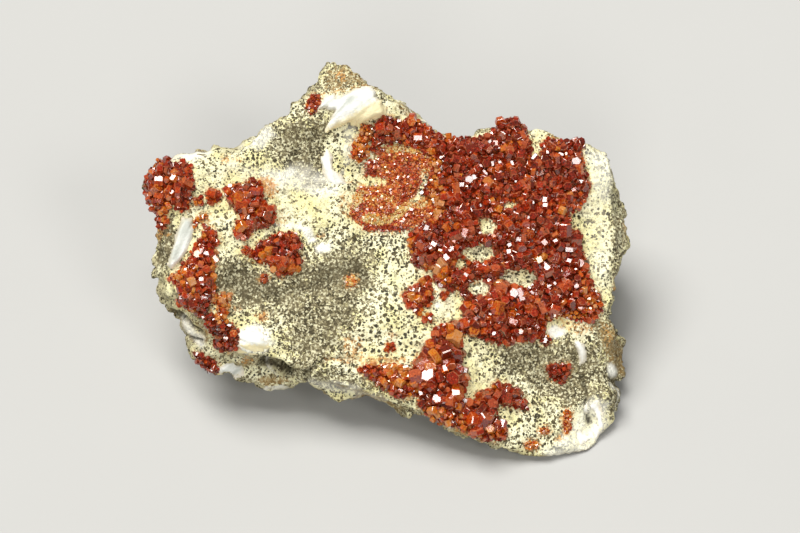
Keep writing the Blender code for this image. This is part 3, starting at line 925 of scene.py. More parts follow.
@dataclass(frozen=True)
class FloorFinish:
    """Plain pale board with a faint mottle."""

    colour: tuple[float, float, float] = (0.46, 0.46, 0.45)

    def build(self, effects: Effects) -> bpy.types.Material:
        """Builds the material.

        Args:
            effects: The shared shader groups.

        Returns:
            The material.
        """
        material, sheet, place = start_material("pale_board")
        clouds = sheet.group(effects.mottle, Position=place, Size=60.0).outputs
        darker = tuple(c * 0.96 for c in self.colour)
        shader = sheet.add(
            "BsdfPrincipled",
            None,
            Base_Color=sheet.mix(clouds["Broad"], self.colour, darker),
            Roughness=sheet.blend(clouds["Fine"], 0.5, 0.62),
        )
        shader.inputs["Specular IOR Level"].default_value = 0.0
        end_material(sheet, shader)
        return material


# ---------------------------------------------------------------------------------------------
# Rock
# ---------------------------------------------------------------------------------------------


@dataclass
class Rock:
    """The block of rock: its solid made fine, roughened and marked with its zones."""

    voxel: float = 0.46
    out: tuple[float, float, float] = (0.119, -0.515, 0.849)
    grey_zones: tuple[tuple[Outline, float, float], ...] = (
        (((-18, 27), (-14, 29.8), (-11.5, 29), (-11, 26), (-11.3, 22), (-12, 19), (-11.5, 16),
          (-14.5, 15.3), (-17, 18), (-20, 20), (-21.5, 22), (-20, 25)), 1.8, 0.95),
        (((-14.5, 27), (-12, 27), (-11.6, 22), (-12.2, 19), (-12, 16.2), (-14.5, 16),
          (-15.5, 20)), 1.8, 1.2),
        (((-31.5, 1.8), (-27, 2), (-24, 0), (-20, -1.5), (-17, -1), (-15.5, 3.5), (-14, 4),
          (-11, 3.2), (-9, 4), (-5, 3.6), (-3, 2), (-2.2, -2), (-3.4, -4), (-4.6, -7.5),
          (-7.5, -12), (-9.5, -16), (-12, -19.5), (-17, -19.5), (-18, -15), (-19, -10),
          (-21.5, -8), (-25, -7.5), (-28, -7.5), (-29, -5.5), (-31.5, -4)), 2.6, 1.0),
        (((-31.5, 0.5), (-27, 0.6), (-22, -1.8), (-16.5, -2), (-15.8, -4.5), (-20, -6),
          (-26, -6), (-30, -4)), 2.4, 1.4),
        (spot(-3.9, -0.9, 3.2, 3.4), 2.4, 1.4),
        (((-30, 1.6), (-25, 0.8), (-20, -1.8), (-14.6, -2), (-12, 1.4), (-8.4, 2.4), (-4, 1.6),
          (-4.6, -2.6), (-12, -4.4), (-20, -5.4), (-27, -5), (-30.4, -2.6)), 1.4, 1.35),
        (((20.5, -14.5), (24, -13.5), (30, -14), (33, -11.5), (36, -13), (40, -15),
          (40.5, -20), (39.5, -25), (36.5, -25.8), (33, -25), (29, -24), (26.5, -22),
          (24, -19), (21.5, -18.5)), 1.8, 1.0),
        (((-13, -18.5), (-9, -18), (-4, -20), (0, -22.5), (5, -25.5), (4, -26.5), (-4, -23),
          (-12, -21.5), (-17, -20.5)), 1.8, 0.7),
        (((-42.6, 9), (-39.6, 9.4), (-38.2, 7), (-39.2, 3), (-41, 0.5), (-43, 3)), 1.0, 1.1),
        (((42.8, 18), (45, 18), (44.9, 9), (44.4, 4), (44, -6), (42.4, -9), (41.8, -5),
          (42.4, 4)), 0.8, 0.6),
        (((-15, 30.6), (-12.4, 35.6), (-8, 39.6), (-3, 37.6), (0, 33), (-4, 34.4), (-9, 33.8),
          (-12, 32.4)), 1.0, 0.45),
        (((39, -9), (42, -9.6), (45, -13), (45.6, -20), (44, -25), (42, -28), (40, -24),
          (39.6, -18), (38.6, -13)), 1.2, 0.95),
    )
    dot_zones: tuple[tuple[Outline, float, float], ...] = (
        (((-27, 22.5), (-22, 27), (-17, 30), (-12, 36), (-8, 39.5), (-3, 37.5), (-2, 34.4),
          (-12, 33),
          (-11.5, 29), (-18, 26), (-22, 21), (-26, 18.5)), 0.35, 1.15),
        (((-11.5, 26.5), (-6, 27.5), (-5.5, 25), (-7, 20), (-7.2, 15.5), (-9, 15), (-8, 18),
          (-10.5, 22)), 0.8, 0.35),
        (((-15, 14.2), (-8, 16), (-6.5, 11), (-7, 7.6), (-13, 7.4), (-14.5, 10)), 0.45, 0.5),
        (((-14, 7.6), (-7, 8.4), (-6, 7), (4.6, 7), (4.8, 2), (4, 0.6), (-3, 1), (-10, 4.5),
          (-13.5, 5)), 1.0, 0.9),
        (((-4, -1.8), (3.5, -0.5), (3.2, -5), (6.5, -8.5), (8.5, -11.5), (5.5, -16.8),
          (-3, -17), (-8.5, -14), (-5.5, -8)), 0.95, 0.3),
        (((3, -0.5), (5.5, 0.5), (6.5, -0.5), (4.5, -3.2), (2.5, -3.6)), 0.4, 0.2),
        (((15.5, -12.5), (18.5, -13.2), (21, -14.5), (21.5, -19), (19, -18.5), (16.5, -16)),
         0.8, 0.7),
        (((20.5, -25.2), (27, -25.5), (33, -27), (33, -33.8), (24, -35), (21.5, -31.5),
          (23, -30.2), (21, -27.6)), 1.0, 0.5),
        (((36.5, 12.5), (42, 12.5), (42.2, 4), (41.8, -6), (40.4, -7), (39, -3), (37.6, 1),
          (36.8, 5), (35.2, 9)), 0.9, 0.6),
        (((38, 22), (42, 21), (42.5, 13), (38.5, 14)), 0.45, 0.6),
        (((13.8, 0.4), (15.6, 5.2), (21, 5.2), (21, 1), (16, 0)), 0.8, 0.7),
        (((21.5, -0.2), (28.6, 0.4), (28.2, -3.4), (25, -4.6), (23.6, -2.4)), 0.8, 0.6),
        (((15.2, -2.2), (19.8, -2.2), (19.6, -5), (16, -4.6)), 0.7, 0.6),
        (((-37, 15), (-36, 22.6), (-27, 22.4), (-26, 17.5), (-31, 15.5)), 0.12, 0.38),
        (((-36, 10.5), (-35.5, 15), (-30, 15), (-28, 10), (-32, 8.8)), 0.3, 0.34),
        (((-32.5, 3), (-31.5, 8), (-27, 6), (-25, 2.6), (-28, 1.8)), 0.25, 0.4),
        (((-24.5, -8.5), (-20, -8.8), (-18, -12), (-18, -16.8), (-21, -15.8), (-20.4, -12.4)),
         0.85, 0.9),
        (((-23, 17.6), (-12, 16.6), (-9.4, 13), (-10.4, 8), (-15, 7), (-20, 7.4), (-21.4, 10.5)),
         0.1, 0.1),
        (((14.4, -16.2), (18.4, -17.4), (21, -19.4), (20.4, -20.8), (18, -22.6), (15, -22.8),
          (15.2, -19.8)), 0.22, 0.1),
        (((9.4, -5), (13, -4.6), (14, -9), (10, -9.6)), 0.05, 0.12),
        (((-28, -10.4), (-21, -10.4), (-20.4, -15), (-27.5, -16)), 0.1, 0.1),
        (((-39.5, 20.5), (-38, 22.8), (-33, 23.2), (-32, 21.8), (-36, 20.4)), 0.05, 0.05),
        (((34.4, -30), (35.6, -26), (38, -23.6), (42, -24), (43, -29), (40, -34), (34, -34)),
         0.05, 0.12),
        (((5, -26), (9, -29.4), (15, -31), (17, -30.8), (12, -27.6), (8, -26.5)), 0.8, 0.8),
        (((35.4, 19), (40, 20), (42, 10), (42, -5), (39, -8), (37.2, 4)), 0.4, 0.2),
    )
    white_zones: tuple[tuple[Outline, float, float], ...] = (
        (((-13.2, 4.3), (-11.6, 4.9), (-10, 4.8), (-10.2, 3.4), (-12.6, 3.2)), 0.4, 1.0),
        (((-15.8, 8.2), (-13.8, 7.4), (-13, 5.6), (-14, 5.2), (-15, 6.6)), 0.35, 1.0),
        (((-20.4, 8.9), (-17.6, 8.3), (-15.6, 8.1), (-15.8, 7.6), (-18, 7.8), (-20.4, 8.5)),
         0.3, 0.7),
        (((-20, 17.4), (-17.6, 19.3), (-16.6, 18.8), (-16.8, 17.6), (-18.6, 16.6)), 0.35, 0.8),
        (((-16, 15.8), (-13, 15.8), (-9, 15.4), (-9, 14.2), (-13, 14.2), (-16, 15)), 0.7, 0.45),
        (spot(32, -11.5, 2.8, 1.6), 0.5, 1.0),
        (spot(42.2, -18.8, 2.0, 2.8), 0.4, 1.0),
        (spot(27, 20.8, 2.0, 1.2), 0.4, 0.9),
        (((34.6, -29), (36.6, -25.6), (39.4, -23.8), (41.4, -25), (41.8, -29), (39, -33.4),
          (34, -33.6), (31, -33.4), (32, -31.8)), 0.8, 0.5),
        (((-38.6, -8.4), (-36.6, -12), (-34.2, -14.8), (-33.4, -14), (-35.5, -11), (-37, -8)),
         0.6, 0.8),
        (((-27.5, -11.6), (-25, -10.6), (-21.8, -11.4), (-20.8, -13.6), (-22.4, -15.2),
          (-25.6, -15.6), (-27.8, -14.4)), 1.0, 1.0),
        (((-40, 20.4), (-38.6, 22.8), (-33, 23), (-32, 22), (-36, 20.6)), 0.7, 0.6),
        (((37.6, 22), (41.6, 22), (42.6, 17), (41, 12), (38.6, 15)), 1.0, 0.4),
        (((35.8, 18), (39.8, 18), (41.4, 8), (41, -4), (39, -7), (37.4, 4)), 1.0, 0.12),
        (((-27, 23), (-22, 26.4), (-20.5, 25), (-23, 22.6)), 0.7, 0.6),
        (((-28, 19.6), (-20, 18.8), (-14.4, 18.4), (-10, 17), (-14, 15.4), (-21, 16.4),
          (-27, 17.4)), 1.6, 0.5),
        (((-8, 26.8), (-5.4, 27.2), (-5.6, 20), (-8, 18), (-8, 22)), 0.9, 0.4),
        (spot(9.8, -6.6, 1.2, 1.4), 0.3, 1.0),
        (((-14, -20.6), (-8, -20.8), (-4, -22.4), (0, -24.2), (-1, -25), (-9, -22.6)), 0.6, 0.35),
        (((30, -33.6), (36, -33), (41, -31), (40, -35), (31, -36)), 0.8, 0.6),
    )
    stain_zones: tuple[tuple[Outline, float], ...] = (
        (((-23.8, 17.2), (-21.6, 17.4), (-19.6, 16), (-20.8, 13.4), (-22.6, 13.6)), 1.3),
        (spot(-19.6, 8.9, 2.2, 1.4), 0.8),
        (spot(-11.9, 6.3, 1.7, 1.3), 0.9),
        (spot(-19.5, 10.5, 4, 4), 0.4),
        (spot(-34, 9.4, 2.8, 1.6), 1.0),
        (spot(-22.5, -1.5, 1.5), 0.8),
        (((-24.4, -8.6), (-22.4, -7.4), (-21.4, -8.2), (-23, -9.6)), 1.2),
        (spot(-27.4, -7.4, 1.6, 1.6), 0.9),
        (spot(-25, -16.7, 4.0, 1.0), 0.8),
        (spot(-33.5, -7.5, 4, 4), 0.6),
        (spot(-8.3, 36.3, 1.3), 1.1),
        (spot(-29.5, 20.7, 1.6), 1.1),
        (spot(-27.3, 20.5, 1.1), 1.0),
        (((-12.4, 33), (-8, 34), (-3, 35), (-2.4, 34.2), (-7.6, 33), (-12, 31.8)), 0.45),
        (((-3.4, 28.8), (-1, 29.4), (0.8, 31), (1, 29), (-1, 27.6)), 0.7),
        (spot(-7.4, 12, 3, 6), 0.5),
        (spot(-6.6, 16.4, 2.4, 1.6), 0.7),
        (spot(-6.4, -2, 2.2), 1.0),
        (((-8, -12.6), (-4.4, -12), (-3.6, -16.2), (-7.6, -16)), 0.6),
        (((-11.4, -16.2), (-4, -15.9), (4, -16.6), (4, -17.6), (-4, -17.2), (-11, -17.1)), 0.85),
        (spot(1.5, -12.1, 2.2, 1.4), 0.7),
        (spot(1, -14.5, 2.2), 0.9),
        (((5, -26.2), (10, -27.8), (16, -29.8), (18, -31.6), (14, -31.4), (8, -29.4)), 0.9),
        (((33.2, -30.8), (32.8, -27.8), (34, -25.8), (35.2, -26.6), (34.4, -30.6)), 1.35),
        (spot(29.5, -30, 2.4, 1.4), 1.2),
        (spot(27.4, -32.6, 2.8, 1.6), 1.3),
        (spot(32.2, -31.4, 1.8, 1.2), 1.0),
        (spot(36, -10.6, 8, 2.4), 0.6),
        (spot(45.2, 7.4, 2.0, 5), 0.8),
        (spot(43, -2.6, 1.6, 4), 0.6),
        (spot(41.4, -12, 2, 5), 0.5),
        (spot(12.2, -6.8, 5.4), 0.2),
        (spot(-42, 7, 4, 3), 0.8),
        (spot(-44, 3, 2.4, 7), 0.5),
        (spot(-31, -9.6, 3, 2), 0.7),
        (spot(8.4, 16, 4, 10), 0.6),
    )
    ochre_zones: tuple[tuple[Outline, float], ...] = (
        (spot(-21, -20.6, 6, 1.8), 1.0),
        (spot(-25, -17, 3.4, 1.2), 0.9),
        (spot(-8, 35.4, 7, 5), 0.5),
        (((-12, 33.4), (-8, 38.4), (-4, 36.6), (-1, 33.6), (-2, 32.8), (-6, 34.2)), 0.55),
        (((2, 30), (6, 27), (7, 29.4), (3, 33)), 0.6),
        (((-38, -8), (-34, -9), (-32, -13), (-35, -14.5), (-38, -11)), 0.55),
        (((38, -4), (41, -3), (42, -12), (40, -13)), 0.4),
        (((39.4, -10), (43, -11), (45.4, -16), (44.6, -20), (42, -19), (40.4, -15)), 0.7),
        (((5, -26.2), (10, -27.8), (16, -29.8), (18, -31.6), (14, -32), (7, -29.6)), 0.5),
        (spot(8.6, 24.6, 3, 1.6), 0.7),
        (spot(31.6, 24.8, 3.6, 1.6), 0.6),
        (spot(-25.5, -17.2, 4, 1.6), 0.6),
        (spot(-2.6, 31, 4, 2), 0.35),
    )
    dents: tuple[tuple[float, float, float, float, float], ...] = (
        (-14.2, 21.5, 3.6, 5.6, 1.0),
        (-4.2, -0.8, 1.9, 1.7, 0.7),
        (-12.5, 6.4, 1.8, 1.6, 0.5),
        (-30, -12.4, 1.6, 1.6, 1.2),
        (38.3, -28.2, 0.9, 1.5, 1.4),
        (-36.5, 12, 3, 2, 0.4),
        (-2.6, 24.4, 1.2, 2.6, 0.5),
        (17.5, 3.0, 2.6, 1.4, 0.5),
        (25, -1.6, 3.0, 1.4, 0.6),
        (-20.5, 15.5, 3.4, 1.6, -0.5),
        (-10, -18, 5.0, 1.4, -0.5),
        (-24, -13, 3.0, 2.0, -0.5),
    )
    nudges: tuple[tuple[float, float, float, float, float], ...] = (
        (41.4, -5.6, 3.0, 1.2, 0.0),
        (41.6, -11.6, 2.2, 1.5, 0.0),
        (42.0, -23.0, 2.2, 1.9, 0.0),
        (41.6, -27.4, 2.0, 0.7, 0.0),
        (45.6, -16.6, 2.6, -1.1, 0.0),
        (43.6, -2.6, 1.6, -1.0, 0.0),
        (-6.8, 37.6, 1.6, 0.0, 1.0),
        (-4.4, 36.0, 1.6, 0.0, 1.0),
        (-0.9, 33.6, 1.1, 0.4, 1.0),
        (1.6, 33.2, 1.7, -0.3, -1.3),
    )
    cracks: tuple[tuple[tuple[tuple[float, float], ...], float, float], ...] = (
        (((-23.2, -17.2), (-21.4, -17.0), (-19.6, -17.7), (-18.0, -19.0)), 2.6, 0.55),
        (((-15.2, -19.6), (-12.8, -17.6), (-11, -16.6), (-8, -16.2), (-5, -16.4)), 0.7, 0.35),
        (((-39.5, -7.5), (-37.5, -9), (-36, -10.5), (-34.2, -11.6)), 1.0, 0.35),
        (((-38.4, -11.8), (-36.3, -12.8), (-34.4, -13.2)), 0.9, 0.3),
        (((36.5, -20), (37.6, -23), (37.2, -26), (38.2, -28.5)), 0.9, 0.35),
        (((33.8, 22.6), (36.4, 21.4), (37.6, 18.5)), 0.5, 0.3),
    )
    tree: BVHTree | None = field(default=None, repr=False)

    def build(self, crusts: list[Crust]) -> bpy.types.Object:
        """Builds the mesh.

        Args:
            crusts: Outlines of the druses on it, their windows and how strongly they stain it.

        Returns:
            The rock.
        """
        mesh = fine_copy("matrix", self.voxel)
        drop_crumbs(mesh)
        edges = np.zeros(len(mesh.edges) * 2, np.int64)
        mesh.edges.foreach_get("vertices", edges)
        edges = edges.reshape(-1, 2)
        solid = vertex_array(mesh) / MM
        points = relax(solid, edges, 3)
        normals = vertex_array(mesh, "normal")
        facing = normals @ np.array(self.out)
        face = ramp(0.35, 0.75, relax(facing[:, None], edges, 6)[:, 0])
        u, v = PLANE.drawn(points)
        faces = [tuple(polygon.vertices) for polygon in mesh.polygons]
        towards = ramp(-0.05, 0.2, normals @ np.array(PLANE.axes()[2]))
        towards *= self.seen(points, faces, edges, towards)
        lifted = self.roughened(points, face, u, v, towards)
        moved = normals * lifted[:, None] + self.nudged(u, v)
        moved = points + moved * ramp(0.1, 2.5, points[:, 2])[:, None]
        moved[:, 2] = np.where(solid[:, 2] < 0.2, solid[:, 2], np.maximum(moved[:, 2], 0.02))
        u, v = PLANE.drawn(moved)
        fields = self.zones(moved, face, u, v, towards, crusts)
        # Painted shade: points lying below the smoothed surface, and points along the cracks (the
        # deepest crack most), are marked for darkening.
        smooth_shape = relax(moved, edges, 8)
        dip = np.einsum("ij,ij->i", smooth_shape - moved, normals)
        fields["painted_hollow_shade"] = ramp(0.06, 0.5, dip)
        for line, depth, width in self.cracks:
            gap = self.near_line(line, u, v, width) * 1.5 * ramp(0.8, 2.4, np.array(depth))
            gap = np.minimum(gap, 1.1)
            fields["painted_hollow_shade"] = np.maximum(fields["painted_hollow_shade"], gap * towards)
        self.tree = BVHTree.FromPolygons(moved.tolist(), faces)
        return mesh_object("rock", moved, faces, fields, True)

    @staticmethod
    def seen(
        points: np.ndarray,
        faces: list[tuple[int, ...]],
        edges: np.ndarray,
        towards: np.ndarray,
    ) -> np.ndarray:
        """Which points are in plain sight of the drawing plane's eye.

        Args:
            points: The points of the surface.
            faces: Corners of each face.
            edges: Pairs of points.
            towards: How much each point looks at the eye.

        Returns:
            Numbers from 0 behind another part of the rock to 1 in plain sight.
        """
        tree = BVHTree.FromPolygons(points.tolist(), faces)
        eye = PLANE.eye()
        clear = np.zeros((len(points), 1))
        for index in np.nonzero(towards > 0)[0]:
            way = Vector(points[index]) - eye
            hit = tree.ray_cast(eye, way.normalized(), way.length - SIGHT_SLACK)[0]
            clear[index] = hit is None
        return ramp(0.3, 0.7, relax(clear, edges, 3)[:, 0])

    def roughened(
        self,
        points: np.ndarray,
        face: np.ndarray,
        u: np.ndarray,
        v: np.ndarray,
        towards: np.ndarray,
    ) -> np.ndarray:
        """How far each point of the surface is raised.

        Args:
            points: The points.
            face: How much each belongs to the leaning face.
            u: Where they are drawn, across.
            v: Where they are drawn, up.
            towards: How much each looks at the drawing plane's eye.

        Returns:
            Heights, negative in hollows.
        """
        wall = 1 - face
        rise = 0.42 * rough_noise(points, 5.0, 3, 11)
        near, second, mark = cell_field(points, 1.6, 31)
        rise += (0.40 * face + 0.45 * wall) * (0.5 - near)
        rise += 0.16 * rough_noise(points, 1.1, 2, 23)
        chip_near, chip_second, chip_mark = cell_field(points, 4.2, 51)
        rise += wall * (0.45 * (chip_mark - 0.5) - 0.25 * ramp(0.22, 0.0, chip_second - chip_near))
        rise += wall * 0.12 * (mark - 0.5) * ramp(0.0, 0.2, second - near)
        ledge_near, ledge_second, ledge_mark = cell_field(points, 8.5, 61)
        rise += wall * (1 - towards) * (
            1.3 * (ledge_mark - 0.5) - 0.5 * ramp(0.1, 0.0, ledge_second - ledge_near)
        )
        for line, depth, width in self.cracks:
            rise -= depth * towards * self.near_line(line, u, v, width)
        for mid_u, mid_v, half_u, half_v, depth in self.dents:
            away = ((u - mid_u) / half_u) ** 2 + ((v - mid_v) / half_v) ** 2
            rise -= depth * towards * np.exp(-away)
        return rise

    def nudged(self, u: np.ndarray, v: np.ndarray) -> np.ndarray:
        """How far points are moved in the drawing plane to bring the outline in line.

        Args:
            u: Where the points are drawn, across.
            v: Where the points are drawn, up.

        Returns:
            Shifts in space, as rows of x, y and z.
        """
        right, up = (np.array(axis) for axis in PLANE.axes()[:2])
        shift = np.zeros((len(u), 3))
        for mid_u, mid_v, reach, push_u, push_v in self.nudges:
            share = np.exp(-((u - mid_u) ** 2 + (v - mid_v) ** 2) / reach**2)
            shift += share[:, None] * (right * push_u + up * push_v)
        return shift

    @staticmethod
    def near_line(
        line: tuple[tuple[float, float], ...], u: np.ndarray, v: np.ndarray, width: float
    ) -> np.ndarray:
        """How close points are drawn to a line.

        Args:
            line: The line's points.
            u: Coordinates across.
            v: Coordinates up.
            width: Half the width at which the closeness has fallen off.

        Returns:
            Numbers from 0 away from the line to 1 on it.
        """
        nearest = np.full(len(u), np.inf)
        for (au, av), (bu, bv) in zip(line, line[1:]):
            su, sv = bu - au, bv - av
            along = np.clip(((u - au) * su + (v - av) * sv) / (su * su + sv * sv), 0, 1)
            nearest = np.minimum(nearest, np.hypot(u - au - along * su, v - av - along * sv))
        return np.exp(-((nearest / width) ** 2))

    def zones(
        self,
        points: np.ndarray,
        face: np.ndarray,
        u: np.ndarray,
        v: np.ndarray,
        towards: np.ndarray,
        crusts: list[Crust],
    ) -> dict[str, np.ndarray]:
        """Marks where the rock is grey, speckled, stained, ochre or white.

        Args:
            points: The points of the surface.
            face: How much each belongs to the leaning face.
            u: Where they are drawn, across.
            v: Where they are drawn, up.
            towards: How much each looks at the drawing plane's eye.
            crusts: Outlines of the druses, their windows and the strength of their stain.

        Returns:
            The numbers for the rock's material, by name.
        """
        grey = np.zeros(len(u))
        for index, (outline, soft, level) in enumerate(self.grey_zones):
            grey = np.maximum(grey, level * Zone(outline, soft, soft + 0.2).mask(u, v, index))
        wall = 1 - face
        patches = rough_noise(points, 7.0, 3, 91)
        dots = 0.36 + 0.45 * rough_noise(points, 4.0, 2, 71)
        specks = 0.42 + 0.45 * rough_noise(points, 3.0, 2, 75)
        for index, (outline, large, small) in enumerate(self.dot_zones):
            share = Zone(outline, 0.9, 1.0).mask(u, v, index + 20) * towards
            dots += (large - dots) * share
            specks += (small - specks) * share
        dots = np.clip(dots + 0.3 * grey, 0, 1.2) * (1 - 0.75 * wall)
        specks = np.clip(specks + 0.4 * grey, 0, 1.2) * (1 - 0.4 * wall)
        grey *= towards
        hidden = 1 - towards
        wall_grey = 0.42 + (1.3 + 0.7 * hidden) * patches
        grey = np.maximum(grey, np.maximum(hidden, wall * 0.6) * wall_grey)
        white = np.zeros(len(u))
        for index, (outline, soft, level) in enumerate(self.white_zones):
            zone = Zone(outline, soft, soft + 0.2).mask(u, v, index + 60)
            white = np.maximum(white, zone * towards * level)
        veins = ramp(0.05, 0.012, np.abs(rough_noise(points, 14.0, 4, 131)))
        veins *= 0.75 * ramp(0.15, 0.55, smooth_noise(points, 11.0, 7))
        white = np.maximum(white, wall * veins)
        stain = np.zeros(len(u))
        for index, (outline, strength) in enumerate(self.stain_zones):
            zone = Zone(outline, 0.9, 0.7).mask(u, v, index + 80)
            stain = np.maximum(stain, zone * strength * 0.7 * towards)
        crust = np.zeros(len(u))
        for outline, windows, strength in crusts:
            depth = Zone(outline).depth(u, v)
            for window in windows:
                depth = np.minimum(depth, -Zone(window).depth(u, v))
            crust = np.maximum(crust, ramp(-0.3, 0.4, depth) * strength * towards)
            stain = np.maximum(stain, ramp(-1.6, 0.0, depth) * 0.4 * towards)
        ochre = wall * ramp(0.06, 0.6, rough_noise(points, 9.0, 4, 151)) * 0.85
        for index, (outline, strength) in enumerate(self.ochre_zones):
            zone = Zone(outline, 0.9, 1.0).mask(u, v, index + 120)
            ochre = np.maximum(ochre, zone * strength * towards)
        return {
            "grey": grey,
            "dots": dots,
            "specks": specks,
            "wall": wall,
            "white": white,
            "stain": stain,
            "crust": crust,
            "ochre": ochre,
        }

    def seat(self, u: float, v: float) -> tuple[Vector, Vector] | None:
        """Where a drawn point lands on the rock.

        Args:
            u: Coordinate across.
            v: Coordinate up.

        Returns:
            The place and the rock's normal there, or None beside the rock.
        """
        place, normal, _, _ = self.tree.ray_cast(PLANE.eye(), PLANE.ray(u, v))
        return None if place is None else (place, normal)


# ---------------------------------------------------------------------------------------------
# Crystals
# ---------------------------------------------------------------------------------------------


class Habit(Enum):
    """The crystals' forms: the least and the greatest height against width."""

    TABULAR = (0.42, 0.7)
    STOUT = (0.7, 1.05)
    PRISMATIC = (1.05, 1.4)


@dataclass
class CrystalHeap:
    """Collects hexagonal crystals and joins them in one mesh."""

    chance: random.Random
    plain_below: float = 1.0
    points: list[Vector] = field(default_factory=list)
    faces: list[tuple[int, ...]] = field(default_factory=list)
    tints: list[float] = field(default_factory=list)
    painted_facet_lights: list[float] = field(default_factory=list)

    def add(self, place: Vector, axis: Vector, width: float, habit: Habit, tint: float) -> None:
        """Adds one crystal: a six-sided prism, with bevelled ends unless it is very small.

        Args:
            place: Its middle.
            axis: Its long direction.
            width: Its width across the corners.
            habit: Its form.
            tint: Its colour, from 0 for dark to 1 for bright.
        """
        chance = self.chance
        height = width * chance.uniform(*habit.value)
        bevel = width * chance.uniform(0.04, 0.08) if width > self.plain_below else 0.0
        turn = axis.to_track_quat("Z", "Y").to_matrix()
        turn = turn @ Matrix.Rotation(chance.uniform(0, math.pi / 3), 3, "Z")
        corners = []
        for k in range(6):
            angle = k * math.pi / 3 + chance.uniform(-0.05, 0.05)
            reach = width / 2 * chance.uniform(0.92, 1.06)
            corners.append((reach * math.cos(angle), reach * math.sin(angle)))
        first = len(self.points)
        inset = 1 - 2 * bevel / width
        half = height / 2
        levels = [(-half, inset), (bevel - half, 1), (half - bevel, 1), (half, inset)]
        if bevel == 0:
            levels = [(-half, 1), (half, 1)]
        for level, share in levels:
            for x, y in corners:
                self.points.append(place + turn @ Vector((x * share, y * share, level)))
        rings = len(levels) - 1
        for ring in range(rings):
            for k in range(6):
                a, b = first + ring * 6 + k, first + ring * 6 + (k + 1) % 6
                self.faces.append((a, b, b + 6, a + 6))
            # Painted highlight: bevel faces get the highest number, so the material lightens them as
            # bright edges. Sides and ends get random numbers for painted highlight and shade.
            sides = ring == rings // 2
            self.painted_facet_lights += [chance.uniform(0.0, 0.9) if sides else 1.0 for _ in range(6)]
        self.faces.append(tuple(first + 5 - k for k in range(6)))
        self.faces.append(tuple(first + 6 * rings + k for k in range(6)))
        self.painted_facet_lights += [chance.uniform(0.0, 0.9) for _ in range(2)]
        self.tints += [tint] * (6 * len(levels))

    def join(self, name: str) -> bpy.types.Object:
        """Makes the object that holds all the crystals."""
        points = np.array([tuple(p) for p in self.points])
        heap = mesh_object(name, points, self.faces, {"tint": np.array(self.tints)}, False)
        layer = heap.data.attributes.new("painted_facet_light", "FLOAT", "FACE")
        layer.data.foreach_set("value", np.array(self.painted_facet_lights, np.float32))
        return heap


